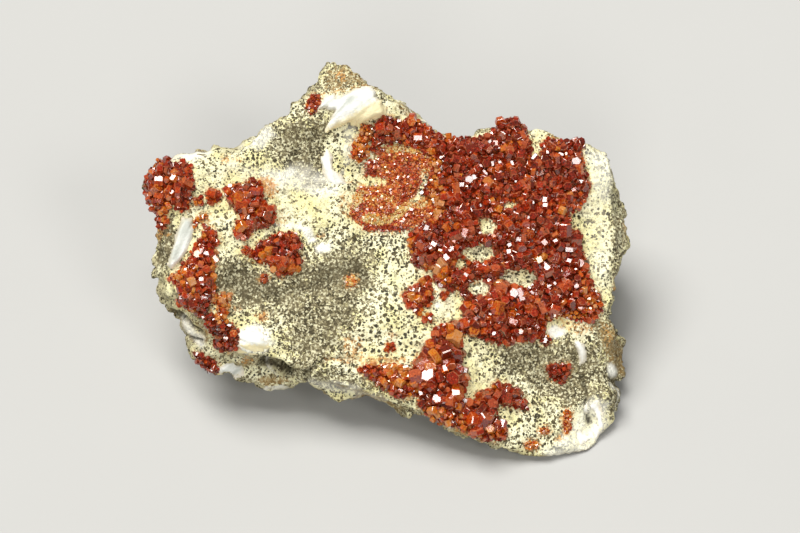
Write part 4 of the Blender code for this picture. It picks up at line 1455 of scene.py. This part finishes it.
@dataclass
class Druse:
    """A patch of crystals on the rock."""

    name: str
    node: str
    outlines: tuple[Outline, ...]
    widths: tuple[float, float] = (0.9, 2.2)
    windows: tuple[Outline, ...] = ()
    spacing: float = 0.56
    pile: float = 1.0
    tint: float = 0.28
    spread: float = 0.19
    lean: tuple[float, float] = (10.0, 88.0)
    slot: str = "vanadinite"
    stain: float = 1.0
    fringe: float = 0.5
    tinted: tuple[tuple[Outline, float, float], ...] = ()
    layers: tuple[tuple[float, float], ...] = ((1.0, 0.0), (0.78, 0.55), (0.55, 0.95))
    least_tint: float = 0.12

    def moods(self, u: np.ndarray, v: np.ndarray) -> tuple[np.ndarray, np.ndarray]:
        """The mean colour and the size of the crystals at drawn points.

        Args:
            u: Coordinates across.
            v: Coordinates up.

        Returns:
            The tints and the factors on the size.
        """
        flat = np.stack([u, v, np.zeros(len(u))], axis=1)
        tints = self.tint + 0.2 * smooth_noise(flat, 4.0, 61)
        sizes = np.ones(len(u))
        for outline, tint, size in self.tinted:
            within = Zone(outline).depth(u, v) > 0
            tints[within] = tint
            sizes[within] = size
        return tints, sizes

    def build(self, rock: Rock) -> bpy.types.Object:
        """Strews and joins the crystals.

        Args:
            rock: The rock that carries them.

        Returns:
            The druse.
        """
        chance = random.Random(self.name)
        heap = CrystalHeap(chance)
        for grow, sink in self.layers:
            for outline in self.outlines:
                self.strew(heap, rock, outline, grow, sink)
        return heap.join(self.name)

    def strew(
        self,
        heap: CrystalHeap,
        rock: Rock,
        outline: Outline,
        grow: float,
        sink: float,
    ) -> None:
        """Strews one layer of crystals over one outline.

        Args:
            heap: Where the crystals are collected.
            rock: The rock that carries them.
            outline: The outline.
            grow: Size of this layer's crystals against the druse's own.
            sink: How far the layer lies below the top of the pile, as a share.
        """
        chance = heap.chance
        zone = Zone(outline)
        low_u, low_v, high_u, high_v = zone.box()
        step = (self.widths[0] + self.widths[1]) / 2 * self.spacing * grow
        tries = int(60 + 5 * (high_u - low_u) * (high_v - low_v) / step**2)
        us = np.array([chance.uniform(low_u, high_u) for _ in range(tries)])
        vs = np.array([chance.uniform(low_v, high_v) for _ in range(tries)])
        depths = zone.depth(us, vs)
        for window in self.windows:
            depths = np.minimum(depths, -Zone(window).depth(us, vs))
        tints, sizes = self.moods(us, vs)
        grid: dict[tuple[int, int], list[tuple[float, float]]] = {}
        for u, v, depth, tint, size in zip(us, vs, depths, tints, sizes):
            if depth < -self.fringe * 0.3 or (depth < self.fringe and chance.random() < 0.35):
                continue
            key = (int(u // step), int(v // step))
            near = [
                taken
                for i in (-1, 0, 1)
                for j in (-1, 0, 1)
                for taken in grid.get((key[0] + i, key[1] + j), ())
            ]
            if any(math.hypot(u - a, v - b) < step * size for a, b in near):
                continue
            seat = rock.seat(u, v)
            if seat is None:
                continue
            grid.setdefault(key, []).append((u, v))
            self.grow_one(heap, seat, depth, grow * size, sink, tint)

    def grow_one(
        self,
        heap: CrystalHeap,
        seat: tuple[Vector, Vector],
        depth: float,
        grow: float,
        sink: float,
        mean: float,
    ) -> None:
        """Grows one crystal on its seat.

        Args:
            heap: Where the crystals are collected.
            seat: The place on the rock and its normal.
            depth: How far inside the outline the seat lies.
            grow: Size of this layer's crystals against the druse's own.
            sink: How far the layer lies below the top of the pile, as a share.
            mean: The mean tint of the crystals here.
        """
        chance = heap.chance
        place, normal = seat
        low, high = self.widths
        width = grow * (low + (high - low) * chance.random() ** 1.9)
        width *= 0.72 + 0.28 * min(1.0, max(0.0, depth) / 1.2)
        mound = self.pile * min(1.0, max(0.0, depth + 0.3) / 2.2) * (1 - sink)
        least_lean, most_lean = self.lean
        lean = math.radians(least_lean + (most_lean - least_lean) * math.sqrt(chance.random()))
        side = normal.orthogonal().normalized()
        side.rotate(Matrix.Rotation(chance.uniform(0, 2 * math.pi), 3, normal))
        axis = normal.copy()
        axis.rotate(Matrix.Rotation(lean, 3, side))
        draw = chance.random()
        habit = Habit.TABULAR if draw < 0.4 else Habit.STOUT if draw < 0.94 else Habit.PRISMATIC
        # Painted shade: crystals lower in the pile get a darker tint.
        mean *= 1 - 0.55 * sink
        least = min(self.least_tint, mean)
        tint = min(1.0, max(least, chance.gauss(mean, self.spread)))
        heap.add(place + normal * (mound + 0.1 * width), axis, width, habit, tint)


# ---------------------------------------------------------------------------------------------
# Barite
# ---------------------------------------------------------------------------------------------


@dataclass
class BaritePlate:
    """A white fibrous plate that lies on the rock and thins out into it."""

    name: str
    node: str
    outline: Outline
    thickness: float = 0.8
    grain_turn: float = 40.0
    rib: float = 0.55
    ribs: float = 0.10
    step: float = 0.28
    bevel: float = 0.35
    high_turn: float = 90.0
    slope: float = 0.6
    evening: int = 60
    fray: float = 0.5
    veil: float = 0.0
    dust: float = 0.0
    dust_turn: float = -60.0

    def build(self, rock: Rock) -> bpy.types.Object:
        """Builds the plate as a closed skin over its outline.

        Args:
            rock: The rock that carries it.

        Returns:
            The plate.
        """
        zone = Zone(self.outline)
        low_u, low_v, high_u, high_v = zone.box()
        columns = int((high_u - low_u) / self.step) + 3
        rows = int((high_v - low_v) / self.step) + 3
        us = low_u - self.step + self.step * np.arange(columns)
        vs = low_v - self.step + self.step * np.arange(rows)
        grid_u, grid_v = (axis.ravel() for axis in np.meshgrid(us, vs))
        flat = np.stack([grid_u, grid_v, np.zeros(len(grid_u))], axis=1)
        turn = math.radians(self.grain_turn)
        across = grid_u * -math.sin(turn) + grid_v * math.cos(turn)
        along = grid_u * math.cos(turn) + grid_v * math.sin(turn)
        ragged = np.stack([across / 0.7, along / 4.0, flat[:, 2]], axis=1)
        depth = zone.depth(grid_u, grid_v)
        depth += self.fray * rough_noise(ragged, 1.0, 2, len(self.name))
        stretched = np.stack([across / self.rib, along / (self.rib * 7), flat[:, 2]], axis=1)
        fibres = rough_noise(stretched, 1.0, 3, 3)
        slabs = cell_field(np.stack([across, along * 0.25, flat[:, 2]], axis=1), 3.4, 9)[2]
        rise = math.radians(self.high_turn)
        uphill = grid_u * math.cos(rise) + grid_v * math.sin(rise)
        inner = uphill[depth > 0]
        uphill = (uphill - inner.min()) / (inner.max() - inner.min())
        profile = ramp(-0.1, self.bevel, depth)
        lift = 1 - self.slope + 2 * self.slope * uphill + 0.2 * (slabs - 0.5)
        height = profile * (self.thickness * lift + self.ribs * fibres)
        kept: dict[int, int] = {}
        seats = []
        for index in np.nonzero(depth > -0.25)[0]:
            seat = rock.seat(float(grid_u[index]), float(grid_v[index]))
            if seat is not None:
                kept[int(index)] = len(seats)
                seats.append(seat[0])
        count = len(seats)
        order = list(kept)
        top, under = self.skins(np.array([tuple(seat) for seat in seats]), kept, columns)
        top += np.array(PLANE.axes()[2]) * height[order][:, None]
        faces, sides = [], {}
        for row in range(rows - 1):
            for column in range(columns - 1):
                a = row * columns + column
                quad = (a, a + 1, a + 1 + columns, a + columns)
                if all(corner in kept for corner in quad):
                    p = [kept[corner] for corner in quad]
                    faces.append(tuple(p))
                    faces.append(tuple(count + q for q in reversed(p)))
                    for start, end in zip(p, p[1:] + p[:1]):
                        sides[(start, end)] = True
        for start, end in sides:
            if (end, start) not in sides:
                faces.append((end, start, count + start, count + end))
        streaks = ramp(0.1, -0.6, fibres) + self.veil * (grid_v - low_v) / (high_v - low_v)
        fibre = np.tile(np.clip(streaks[order], 0, 1.6), 2)
        rim = np.tile(ramp(0.8, 0.0, depth[order]), 2)
        fall = math.radians(self.dust_turn)
        dustward = (grid_u * math.cos(fall) + grid_v * math.sin(fall))[order]
        dustward = (dustward - dustward.min()) / (dustward.max() - dustward.min())
        dust = np.tile(self.dust * ramp(0.45, 0.8, dustward), 2)
        points = np.concatenate([top, under])
        fields = {"fibre": fibre, "rim": rim, "dust": dust}
        used = sorted({corner for corners in faces for corner in corners})
        renumber = {old: new for new, old in enumerate(used)}
        faces = [tuple(renumber[corner] for corner in corners) for corners in faces]
        fields = {label: numbers[used] for label, numbers in fields.items()}
        return mesh_object(self.name, points[used], faces, fields, True)


    def skins(
        self, seats: np.ndarray, kept: dict[int, int], columns: int
    ) -> tuple[np.ndarray, np.ndarray]:
        """Evens out the seats into the plate's smooth upper skin and its buried lower skin.

        Args:
            seats: The places on the rock.
            kept: The number of each seat, by its place in the grid.
            columns: How many places the grid has in a row.

        Returns:
            The upper and the lower skin, before the plate's own thickness.
        """
        pairs = [(kept[k], kept[k + 1]) for k in kept if k + 1 in kept]
        pairs += [(kept[k], kept[k + columns]) for k in kept if k + columns in kept]
        out = np.array(PLANE.axes()[2])
        level = (seats @ out)[:, None]
        even = relax(level, np.array(pairs), self.evening)
        top = seats + (even - level) * out
        under = seats - out * (0.9 + np.maximum(level - even, 0))
        return top, under


# ---------------------------------------------------------------------------------------------
# Studio
# ---------------------------------------------------------------------------------------------


@dataclass(frozen=True)
class SoftLight:
    """A wide, distant light that shines evenly on the specimen and its floor."""

    name: str
    azimuth: float
    elevation: float
    spread: float
    strength: float
    colour: tuple[float, float, float] = (1.0, 1.0, 1.0)

    def build(self) -> None:
        """Places the light; azimuth 0 stands in front of the specimen and 90 to its right."""
        lamp = bpy.data.lights.new(self.name, "SUN")
        lamp.energy = self.strength
        lamp.angle = math.radians(self.spread)
        lamp.color = self.colour
        turn, lift = math.radians(self.azimuth), math.radians(self.elevation)
        away = Vector(
            (
                math.sin(turn) * math.cos(lift),
                -math.cos(turn) * math.cos(lift),
                math.sin(lift),
            )
        )
        holder = bpy.data.objects.new(self.name, lamp)
        bpy.context.scene.collection.objects.link(holder)
        holder.location = away
        holder.rotation_euler = away.to_track_quat("Z", "Y").to_euler()


@dataclass
class Studio:
    """Pale floor, soft lights and the camera."""

    lights: tuple[SoftLight, ...] = (
        SoftLight("key", -125.0, 68.0, 34.0, 3.8, (1.0, 0.985, 0.95)),
        SoftLight("front", -8.0, 36.0, 20.0, 0.95, (1.0, 0.985, 0.95)),
        SoftLight("side", 41.0, 42.0, 15.0, 0.6, (1.0, 0.985, 0.95)),
        SoftLight("top", 20.0, 84.0, 15.0, 0.45, (1.0, 0.985, 0.95)),
    )
    sky: float = 0.15
    backdrop: float = 0.8
    floor_reach: float = 3.0
    lens: float = 132.9
    shift_right: float = 15 / 5.37
    shift_up: float = 3.5 / 5.37

    def build(self, effects: Effects) -> None:
        """Makes the floor, the sky, the lights and the camera.

        Args:
            effects: The shared shader groups.
        """
        self.build_floor(effects)
        self.build_sky()
        for light in self.lights:
            light.build()
        self.build_camera()
        bpy.context.scene.view_settings.view_transform = "Standard"

    def build_sky(self) -> None:
        """Makes a dim even sky that is seen as a pale backdrop behind the floor."""
        world = bpy.data.worlds.new("studio")
        world.use_nodes = True
        sheet = NodeSheet(world.node_tree)
        dim = sheet.add("Background", None, Strength=self.sky)
        seen = sheet.add("Background", None, Strength=self.backdrop)
        for shade in (dim, seen):
            shade.inputs["Color"].default_value = (1.0, 1.0, 1.0, 1.0)
        direct = sheet.add("LightPath").outputs["Is Camera Ray"]
        both = sheet.add("MixShader", None, i0=direct, i1=dim.outputs[0], i2=seen.outputs[0])
        output = sheet.add("OutputWorld")
        sheet.tree.links.new(both.outputs[0], output.inputs["Surface"])
        bpy.context.scene.world = world

    def build_floor(self, effects: Effects) -> None:
        """Makes the floor as a fine sheet of squares."""
        half, count = self.floor_reach * 1000, 24
        line = np.linspace(-half, half, count)
        x, y = (axis.ravel() for axis in np.meshgrid(line, line))
        points = np.stack([x, y, np.zeros(len(x))], axis=1)
        faces = [
            (a, a + 1, a + 1 + count, a + count)
            for row in range(count - 1)
            for a in range(row * count, row * count + count - 1)
        ]
        floor = mesh_object("floor", points, faces, {}, False)
        floor.data.materials.append(FloorFinish().build(effects))

    def build_camera(self) -> None:
        """Sets the camera on the drawing plane's eye."""
        right, up, out = PLANE.axes()
        camera = bpy.data.cameras.new("camera")
        camera.lens = self.lens
        camera.sensor_width = 36.0
        camera.clip_start = 0.01
        holder = bpy.data.objects.new("camera", camera)
        bpy.context.scene.collection.objects.link(holder)
        slide = right * self.shift_right + up * self.shift_up
        holder.location = (PLANE.eye() + slide) * MM
        holder.rotation_euler = out.to_track_quat("Z", "Y").to_euler()
        bpy.context.scene.camera = holder


# ---------------------------------------------------------------------------------------------
# The specimen
# ---------------------------------------------------------------------------------------------


@dataclass
class Specimen:
    """The whole specimen: rock, druses, pocket lining and barite."""

    rock: Rock = field(default_factory=Rock)
    druses: tuple[Druse, ...] = (
        Druse(
            "druse_field",
            "vanadinite_field",
            (
                ((0, 29), (1.5, 28.2), (3, 27.5), (5, 28.3), (6.5, 27.5), (8, 26), (10, 24.8),
                 (14, 24.5), (18, 24.8), (19.8, 25.2), (20.2, 27.6), (22, 28.4), (24.4, 28.0),
                 (25.8, 27.6), (26.4, 25), (27.2, 22.8), (29, 22.5), (30, 24.5), (34, 24),
                 (35.5, 24.8), (36.8, 23.3), (36, 21.5), (37, 19.5), (38, 15.5), (37.3, 13.5),
                 (36, 11.5), (34.3, 10.5), (34.5, 8), (36.3, 6.5), (36, 4.5), (36.8, 3),
                 (37.5, 0), (38, -2), (39.5, -4.5), (40.3, -7.5), (38.5, -9.5), (36, -9.5),
                 (33, -8.5), (30, -9.5), (29.8, -11.8), (30.7, -13), (30, -14), (28.5, -13),
                 (24.5, -13), (22.5, -14), (20, -13.3), (18, -12.5), (14, -11.5), (14.5, -9),
                 (15, -5.5), (13.5, -3.7), (11, -3.5), (9, -1.5), (9, 0), (7, 0.3), (5.5, 1),
                 (4.8, 3), (5, 7), (7.5, 9), (8.8, 12), (7, 14.4), (8.6, 17.6), (8.2, 21),
                 (5.8, 23.2), (2.2, 23.8), (-1, 23.2), (-2.2, 22), (-2.6, 24.4), (-1.6, 27.4)),
                ((-4.3, 27.3), (-2.6, 27), (-2.5, 25.2), (-3.4, 23.6), (-3.1, 21.4), (-4.6, 20.2),
                 (-6.3, 21.2), (-5.9, 23.4), (-4.6, 25)),
            ),
            windows=(
                spot(19, 8, 3.8, 4.2),
                spot(23, 12, 3.2, 2.2),
                spot(17.5, 3.2, 6.8, 4.2),
                spot(14, 1, 3.2, 2.4),
                spot(25, -1.5, 8.2, 4.2),
                spot(17.5, -3.5, 5.0, 3.8),
                spot(28.3, 22, 2.8, 2.6),
            ),
            tinted=(
                (((7.4, 21), (9.6, 21), (11.4, 16), (11, 10), (8.4, 8), (7.6, 12), (8.6, 18)),
                 0.9, 0.62),
                (((-6.6, 28), (-2.4, 28), (-2.2, 23.4), (-3, 20), (-6.8, 20)), 0.88, 0.6),
                (spot(11, -0.2, 3.2), 0.96, 1.15),
                (spot(22.2, -3.3, 4.4, 3.2), 0.66, 1.8),
                (spot(8, 1, 2, 2), 0.9, 1.2),
                (((35, 0), (36.6, 0.4), (38.8, -4), (39.4, -8), (36, -9.6), (30, -9.8),
                  (30, -8.6), (35.6, -7.4), (36.6, -4)), 0.62, 0.6),
                (((33, -2), (36, 3), (36.6, 8), (30, 9), (28, 2)), 0.2, 1.25),
                (((14.5, -6), (22, -6), (24, -12.6), (14, -11)), 0.34, 1.35),
                (((10, 18), (16, 20), (28, 20), (28, 14), (18, 13), (12, 12)), 0.26, 0.85),
            ),
        ),
        Druse(
            "druse_pocket",
            "vanadinite_pocket_crust",
            (
                ((-1, 22.6), (2.6, 23.4), (6.2, 23.0), (8.2, 20.8), (8.9, 17.4), (7.8, 14.8),
                 (8.6, 11.6), (7, 8.8), (3, 7.2), (-3.4, 7.4), (-6.6, 10.2), (-5.8, 13.8),
                 (-3.8, 16.4), (-3.6, 19.8)),
            ),
            widths=(0.32, 0.78),
            windows=(
                ((-5.6, 17.4), (-2, 17.6), (0.6, 17.0), (0.4, 15.8), (-3, 15.4), (-5.6, 15.8)),
                ((6.4, 18.8), (8.4, 17.6), (8.4, 15), (7, 13.2), (5, 12), (4.4, 12.7),
                 (6, 14.4), (6.6, 16.4)),
                spot(-2.4, 21.2, 2.2, 1.8),
            ),
            spacing=0.6,
            pile=0.3,
            tint=0.31,
            spread=0.17,
            layers=((1.0, 0.0), (0.8, 0.7)),
            slot="amber_vanadinite",
            stain=0.8,
            tinted=(
                (((0.4, 21.6), (2.8, 22.0), (5, 21.6), (7.4, 21.8), (7.6, 23.8), (2.6, 23.8),
                  (0, 22.8)), 0.9, 0.9),
                (spot(8.4, 16.2, 2.4, 5.4), 0.95, 1.0),
                (spot(6.0, 12.6, 3.6, 2.6), 0.9, 0.9),
                (((-4.6, 9.4), (-3.2, 10.6), (-0.9, 9.9), (1.3, 10.6), (3.2, 12.2), (5, 13.4),
                  (5.6, 11.8), (3.6, 10.2), (1.5, 8.9), (-0.9, 8.1), (-3.4, 8.6)), 0.86, 0.8),
                (((-6.6, 12), (-5.8, 14.4), (-4.0, 15), (-4.4, 12.6), (-5.6, 11)), 0.92, 0.8),
                (spot(-2.4, 18.6, 3.2, 3.4), 0.12, 1.2),
                (spot(0, 7.4, 13, 1.6), 0.05, 1.3),
                (spot(-0.6, 12.6, 7, 3.0), 0.5, 0.9),
            ),
        ),
        Druse(
            "druse_left_corner",
            "vanadinite_left_corner",
            (
                ((-42.5, 20.3), (-41, 21.3), (-40, 20.5), (-39.7, 19), (-38, 20), (-36.2, 19.3),
                 (-36, 17.5), (-35.7, 16), (-36.2, 13.8), (-36.8, 11.3), (-38, 11),
                 (-39.5, 12), (-41, 10.5), (-40.5, 9), (-41.5, 7.5), (-42.5, 9), (-44, 11),
                 (-44.7, 15), (-44, 18)),
            ),
            widths=(1.0, 2.1),
            tint=0.36,
        ),
        Druse(
            "druse_upper_left",
            "vanadinite_rosette_upper_left",
            (
                ((-30, 14.8), (-28.5, 15.5), (-27, 15.8), (-24.5, 16.6), (-23, 16),
                 (-23, 13.5), (-22.5, 12), (-20.8, 11.5), (-20.5, 9.8), (-21.5, 8.5),
                 (-23, 8), (-25, 7), (-26, 5.7), (-27.8, 7.2), (-27.5, 8.8), (-26.5, 9.5),
                 (-27.5, 11), (-28.8, 12.5)),
                spot(-32, 13.7, 2.4),
                spot(-34.7, 12.8, 1.1),
                ((-35.9, 7.9), (-35.4, 9.2), (-34.3, 10.0), (-33.0, 10.3), (-33.0, 9.7),
                 (-34.2, 9.3), (-34.9, 8.6), (-35.3, 7.9)),
            ),
            widths=(1.1, 2.3),
            tint=0.43,
            tinted=((spot(-34.4, 9.2, 4, 3.4), 0.75, 0.4),),
        ),
        Druse(
            "druse_mid_left",
            "vanadinite_rosette_mid_left",
            (
                ((-23.5, 5), (-22, 5.3), (-20.8, 6.5), (-19, 6.8), (-17, 6.9), (-16, 6),
                 (-15.7, 4.5), (-16.5, 3), (-15.5, 1.8), (-16.5, 0), (-18.5, -0.5),
                 (-19.5, -1.2), (-20.5, 0), (-21.5, 1), (-23.5, 1.5), (-25, 2.5),
                 (-26.5, 3.5), (-25.8, 4), (-24, 3.2)),
                spot(-22.5, -1.5, 1.1),
            ),
            widths=(1.0, 2.1),
            tint=0.42,
        ),
        Druse(
            "druse_left_edge",
            "vanadinite_band_left",
            (
                ((-33.5, 8.3), (-31.5, 7), (-31, 5.5), (-31.7, 4), (-31.5, 2), (-32, 0),
                 (-32, -3), (-31.5, -4.5), (-29, -4.5), (-28.8, -5.5), (-29.5, -7),
                 (-30, -9.5), (-28.5, -10), (-27.2, -12), (-27.5, -14.5), (-29, -15),
                 (-31.5, -14.5), (-31.5, -12.5), (-33, -10.5), (-33.8, -8.5), (-36, -7.5),
                 (-38.5, -6), (-38.2, -4), (-38.8, -2.3), (-40.2, -1.5), (-38.5, -0.5),
                 (-37.5, 1), (-36.5, 2), (-35, 4.5), (-34, 6)),
            ),
            widths=(0.9, 2.0),
            windows=(spot(-32.2, -7.4, 2.2, 2.8),),
            tint=0.36,
            tinted=(
                (((-32.6, -10.2), (-27, -10), (-26.8, -13.0), (-31.8, -13.0)), 0.02, 1.0),
                (((-32, -13.0), (-26.8, -13.0), (-26.8, -15.2), (-32, -15.2)), 0.12, 0.8),
                (((-34.8, -5.6), (-32.2, -5), (-31.6, -9.6), (-34.6, -8.8)), 0.1, 0.9),
                (spot(-38.4, -0.6, 4.6, 3.2), 0.88, 0.7),
                (((-32.6, -4.6), (-28.6, -4.4), (-28.8, -9.8), (-31.4, -9.8)), 0.84, 0.7),
            ),
        ),
        Druse(
            "druse_wall_left",
            "vanadinite_patch_wall_left",
            (
                ((-35.5, -15.3), (-34, -15.8), (-31.6, -17), (-31, -18.5), (-31.4, -19.4),
                 (-33, -19), (-34.5, -17.5)),
            ),
            widths=(0.9, 1.8),
            tint=0.25,
        ),
        Druse(
            "druse_island",
            "vanadinite_island",
            (
                ((7.2, -1.2), (8.5, -2), (9, -4), (8.5, -6.5), (6.8, -7), (6.3, -8.3),
                 (4.3, -6.5), (3.2, -4.5), (4.5, -3.5), (6.2, -3)),
                spot(8, -9, 1.3),
                spot(11, -4.7, 1.2),
                spot(1, -14.5, 1.5),
            ),
            widths=(1.0, 2.0),
            tint=0.55,
        ),
        Druse(
            "druse_lower",
            "vanadinite_band_lower",
            (
                ((9.5, -10.5), (11, -9.8), (13.5, -10.3), (13.3, -12.5), (14.3, -15.5),
                 (13.7, -17), (15.2, -19.8), (14.5, -22), (14.3, -24.5), (16, -30.5),
                 (13, -29), (9.5, -28.5), (8, -27), (6.5, -25.5), (6, -23), (3, -24),
                 (0.5, -22.5), (-2, -20.8), (-4, -19.5), (-4.8, -18.3), (-3, -17.5),
                 (2, -17.7), (5, -18.5), (5.5, -17), (7.5, -15), (9, -13.5)),
                ((16.5, -24), (17.5, -23), (19.8, -22.5), (20.3, -21), (22, -21),
                 (24.5, -22.5), (26.5, -25), (26.3, -26), (24, -25.5), (20.3, -25),
                 (20.8, -27.5), (22.8, -30.3), (21.5, -31.5), (18.5, -31.8), (16, -30.5),
                 (14.3, -24.5)),
            ),
            widths=(1.3, 3.1),
            tint=0.32,
            spread=0.22,
            pile=1.2,
            tinted=(
                (((-5.4, -17.4), (-1, -16.8), (5.4, -17), (5.6, -20), (2, -21), (-2, -19.4)),
                 0.9, 0.5),
                (((-5.4, -17.6), (6, -20), (6, -24.6), (-2, -21.4)), 0.52, 0.6),
                (((7, -14), (9.6, -11), (14, -11.4), (14, -17), (8, -19)), 0.4, 1.12),
                (((5, -25.4), (8, -24.8), (14, -27), (17, -29.6), (16.6, -32), (6, -29)),
                 0.66, 0.55),
                (((16, -30.6), (18, -29), (23, -29.6), (22, -32.4), (16, -32.4)), 0.5, 0.7),
            ),
        ),
        Druse(
            "druse_right_small",
            "vanadinite_button_right",
            (
                ((30.3, -18), (32, -17.5), (34.5, -17.8), (34, -19.5), (32.8, -21), (31, -20)),
                spot(33.9, -28.2, 1.3, 4.6),
                spot(29.6, -30.0, 1.8, 1.2),
                spot(27.3, -32.6, 2.4, 1.5),
            ),
            widths=(0.9, 1.7),
            tinted=((((25, -25), (37, -25), (37, -34), (25, -34)), 0.86, 0.6),),
        ),
        Druse(
            "druse_peak",
            "vanadinite_tuft_peak",
            (
                ((-14.7, 30.2), (-13.6, 32.6), (-12, 32.4), (-12.6, 30.4), (-13.6, 29)),
            ),
            widths=(0.7, 1.3),
            pile=0.5,
        ),
        Druse(
            "druse_centre_amber",
            "amber_crystals_centre",
            (spot(-6.3, -2.1, 2.0),),
            widths=(0.6, 1.1),
            tint=0.8,
            pile=0.4,
            slot="amber_vanadinite",
        ),
    )
    plates: tuple[BaritePlate, ...] = (
        BaritePlate(
            "barite_peak",
            "barite_blade_peak",
            ((-12.6, 30.2), (-11.4, 32.2), (-9.6, 33), (-9, 32.4), (-5.6, 33.9), (-2.6, 34),
             (-1, 31.8), (0, 30.4), (0.1, 28.8), (-4, 27.6), (-8.5, 26.8), (-11, 25.5),
             (-10.4, 27.4), (-9.6, 29.4), (-11, 29.8)),
            thickness=1.1,
            high_turn=70.0,
            bevel=0.7,
            dust=1.0,
        ),
        BaritePlate(
            "barite_middle",
            "barite_blade_middle",
            ((-11, 22.5), (-9.8, 21), (-9.6, 19), (-8, 17.5), (-7, 16), (-9, 15.3),
             (-11, 16), (-11.7, 18), (-12, 20)),
            grain_turn=-60.0,
        ),
        BaritePlate(
            "barite_left",
            "barite_blade_left",
            ((-37.8, 9.9), (-35.8, 9.9), (-35.6, 8.6), (-35.5, 7.1), (-35.7, 5.6),
             (-36.4, 3.8), (-37.4, 2.2), (-38.4, 1.3), (-39.7, 0.2), (-40.3, 0.9),
             (-40.0, 2.4), (-39.6, 3.9), (-39.0, 6.0), (-38.3, 7.9)),
            grain_turn=62.0,
            thickness=1.0,
            high_turn=180.0,
            fray=0.35,
            ribs=0.18,
            bevel=0.7,
            veil=1.3,
        ),
        BaritePlate(
            "barite_lower_left",
            "barite_patch_lower_left",
            ((-27.2, -12), (-25.5, -11), (-23.5, -10.8), (-21.5, -13), (-22, -14.7),
             (-25, -15.5), (-27.3, -15)),
            grain_turn=-20.0,
            thickness=0.35,
            rib=0.5,
            ribs=0.3,
            bevel=1.6,
            dust=1.0,
            dust_turn=-90.0,
            slope=0.2,
            evening=12,
            fray=1.3,
        ),
        BaritePlate(
            "barite_right",
            "barite_sliver_right",
            ((35.0, -13.5), (35.9, -13.1), (37.0, -13.9), (37.4, -15.3), (37.3, -17.4),
             (36.3, -17.5), (35.8, -16.2), (35.5, -14.9)),
            grain_turn=-75.0,
            thickness=0.7,
        ),
        BaritePlate(
            "barite_corner",
            "barite_crust_corner",
            ((36.4, -26.2), (38.0, -24.4), (39.4, -24.6), (40.8, -26.4), (41.0, -29),
             (39.4, -31.6), (36.4, -32.4), (35.4, -31.0), (36.2, -29.8), (37.2, -30.4),
             (38.4, -30.0), (39.3, -28.4), (39.0, -26.6), (37.8, -26.4), (37.0, -27.4)),
            grain_turn=-70.0,
            thickness=0.1,
            ribs=0.22,
            rib=0.5,
            bevel=1.0,
            evening=6,
            fray=0.9,
        ),
        BaritePlate(
            "barite_lump",
            "barite_lump_lower_left",
            ((-31, -18.3), (-29.5, -17), (-27.5, -17.1), (-26, -18.2), (-26.4, -19.7),
             (-28.5, -20.3), (-30.4, -19.9)),
            thickness=1.5,
            rib=0.8,
            ribs=0.6,
            bevel=1.8,
            slope=0.2,
            evening=20,
            fray=0.6,
            veil=0.6,
        ),
    )

    def build(self, effects: Effects) -> None:
        """Builds and dresses every piece.

        Args:
            effects: The shared shader groups.
        """
        red = CrystalFinish(
            "vanadinite",
            shade=(0.11, 0.016, 0.004),
            dark=(0.40, 0.026, 0.004),
            deep=(0.62, 0.034, 0.004),
            bright=(0.90, 0.13, 0.006),
            warm=(0.96, 0.34, 0.015),
            pale=(0.97, 0.46, 0.20),
        ).build(effects)
        amber = CrystalFinish(
            "amber_vanadinite",
            shade=(0.22, 0.02, 0.006),
            dark=(0.62, 0.05, 0.012),
            deep=(0.88, 0.17, 0.02),
            bright=(0.93, 0.38, 0.055),
            warm=(0.94, 0.62, 0.18),
            pale=(0.95, 0.82, 0.44),
            clearness=0.35,
            roughness=0.16,
        ).build(effects)
        crusts = [(o, d.windows, d.stain) for d in self.druses for o in d.outlines]
        stone = self.rock.build(crusts)
        dress(stone, RockFinish().build(effects), "speckled_rock", "matrix")
        for druse in self.druses:
            material = red if druse.slot == "vanadinite" else amber
            dress(druse.build(self.rock), material, druse.slot, druse.node)
        white = BariteFinish().build(effects)
        for plate in self.plates:
            dress(plate.build(self.rock), white, "barite", plate.node)


def main() -> None:
    """Builds the specimen and its studio, and notes the sizes."""
    logging.basicConfig(level=logging.INFO, format="%(name)s %(message)s")
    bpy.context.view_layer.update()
    effects = Effects()
    Specimen().build(effects)
    Studio().build(effects)


if __name__ == "__main__":
    main()
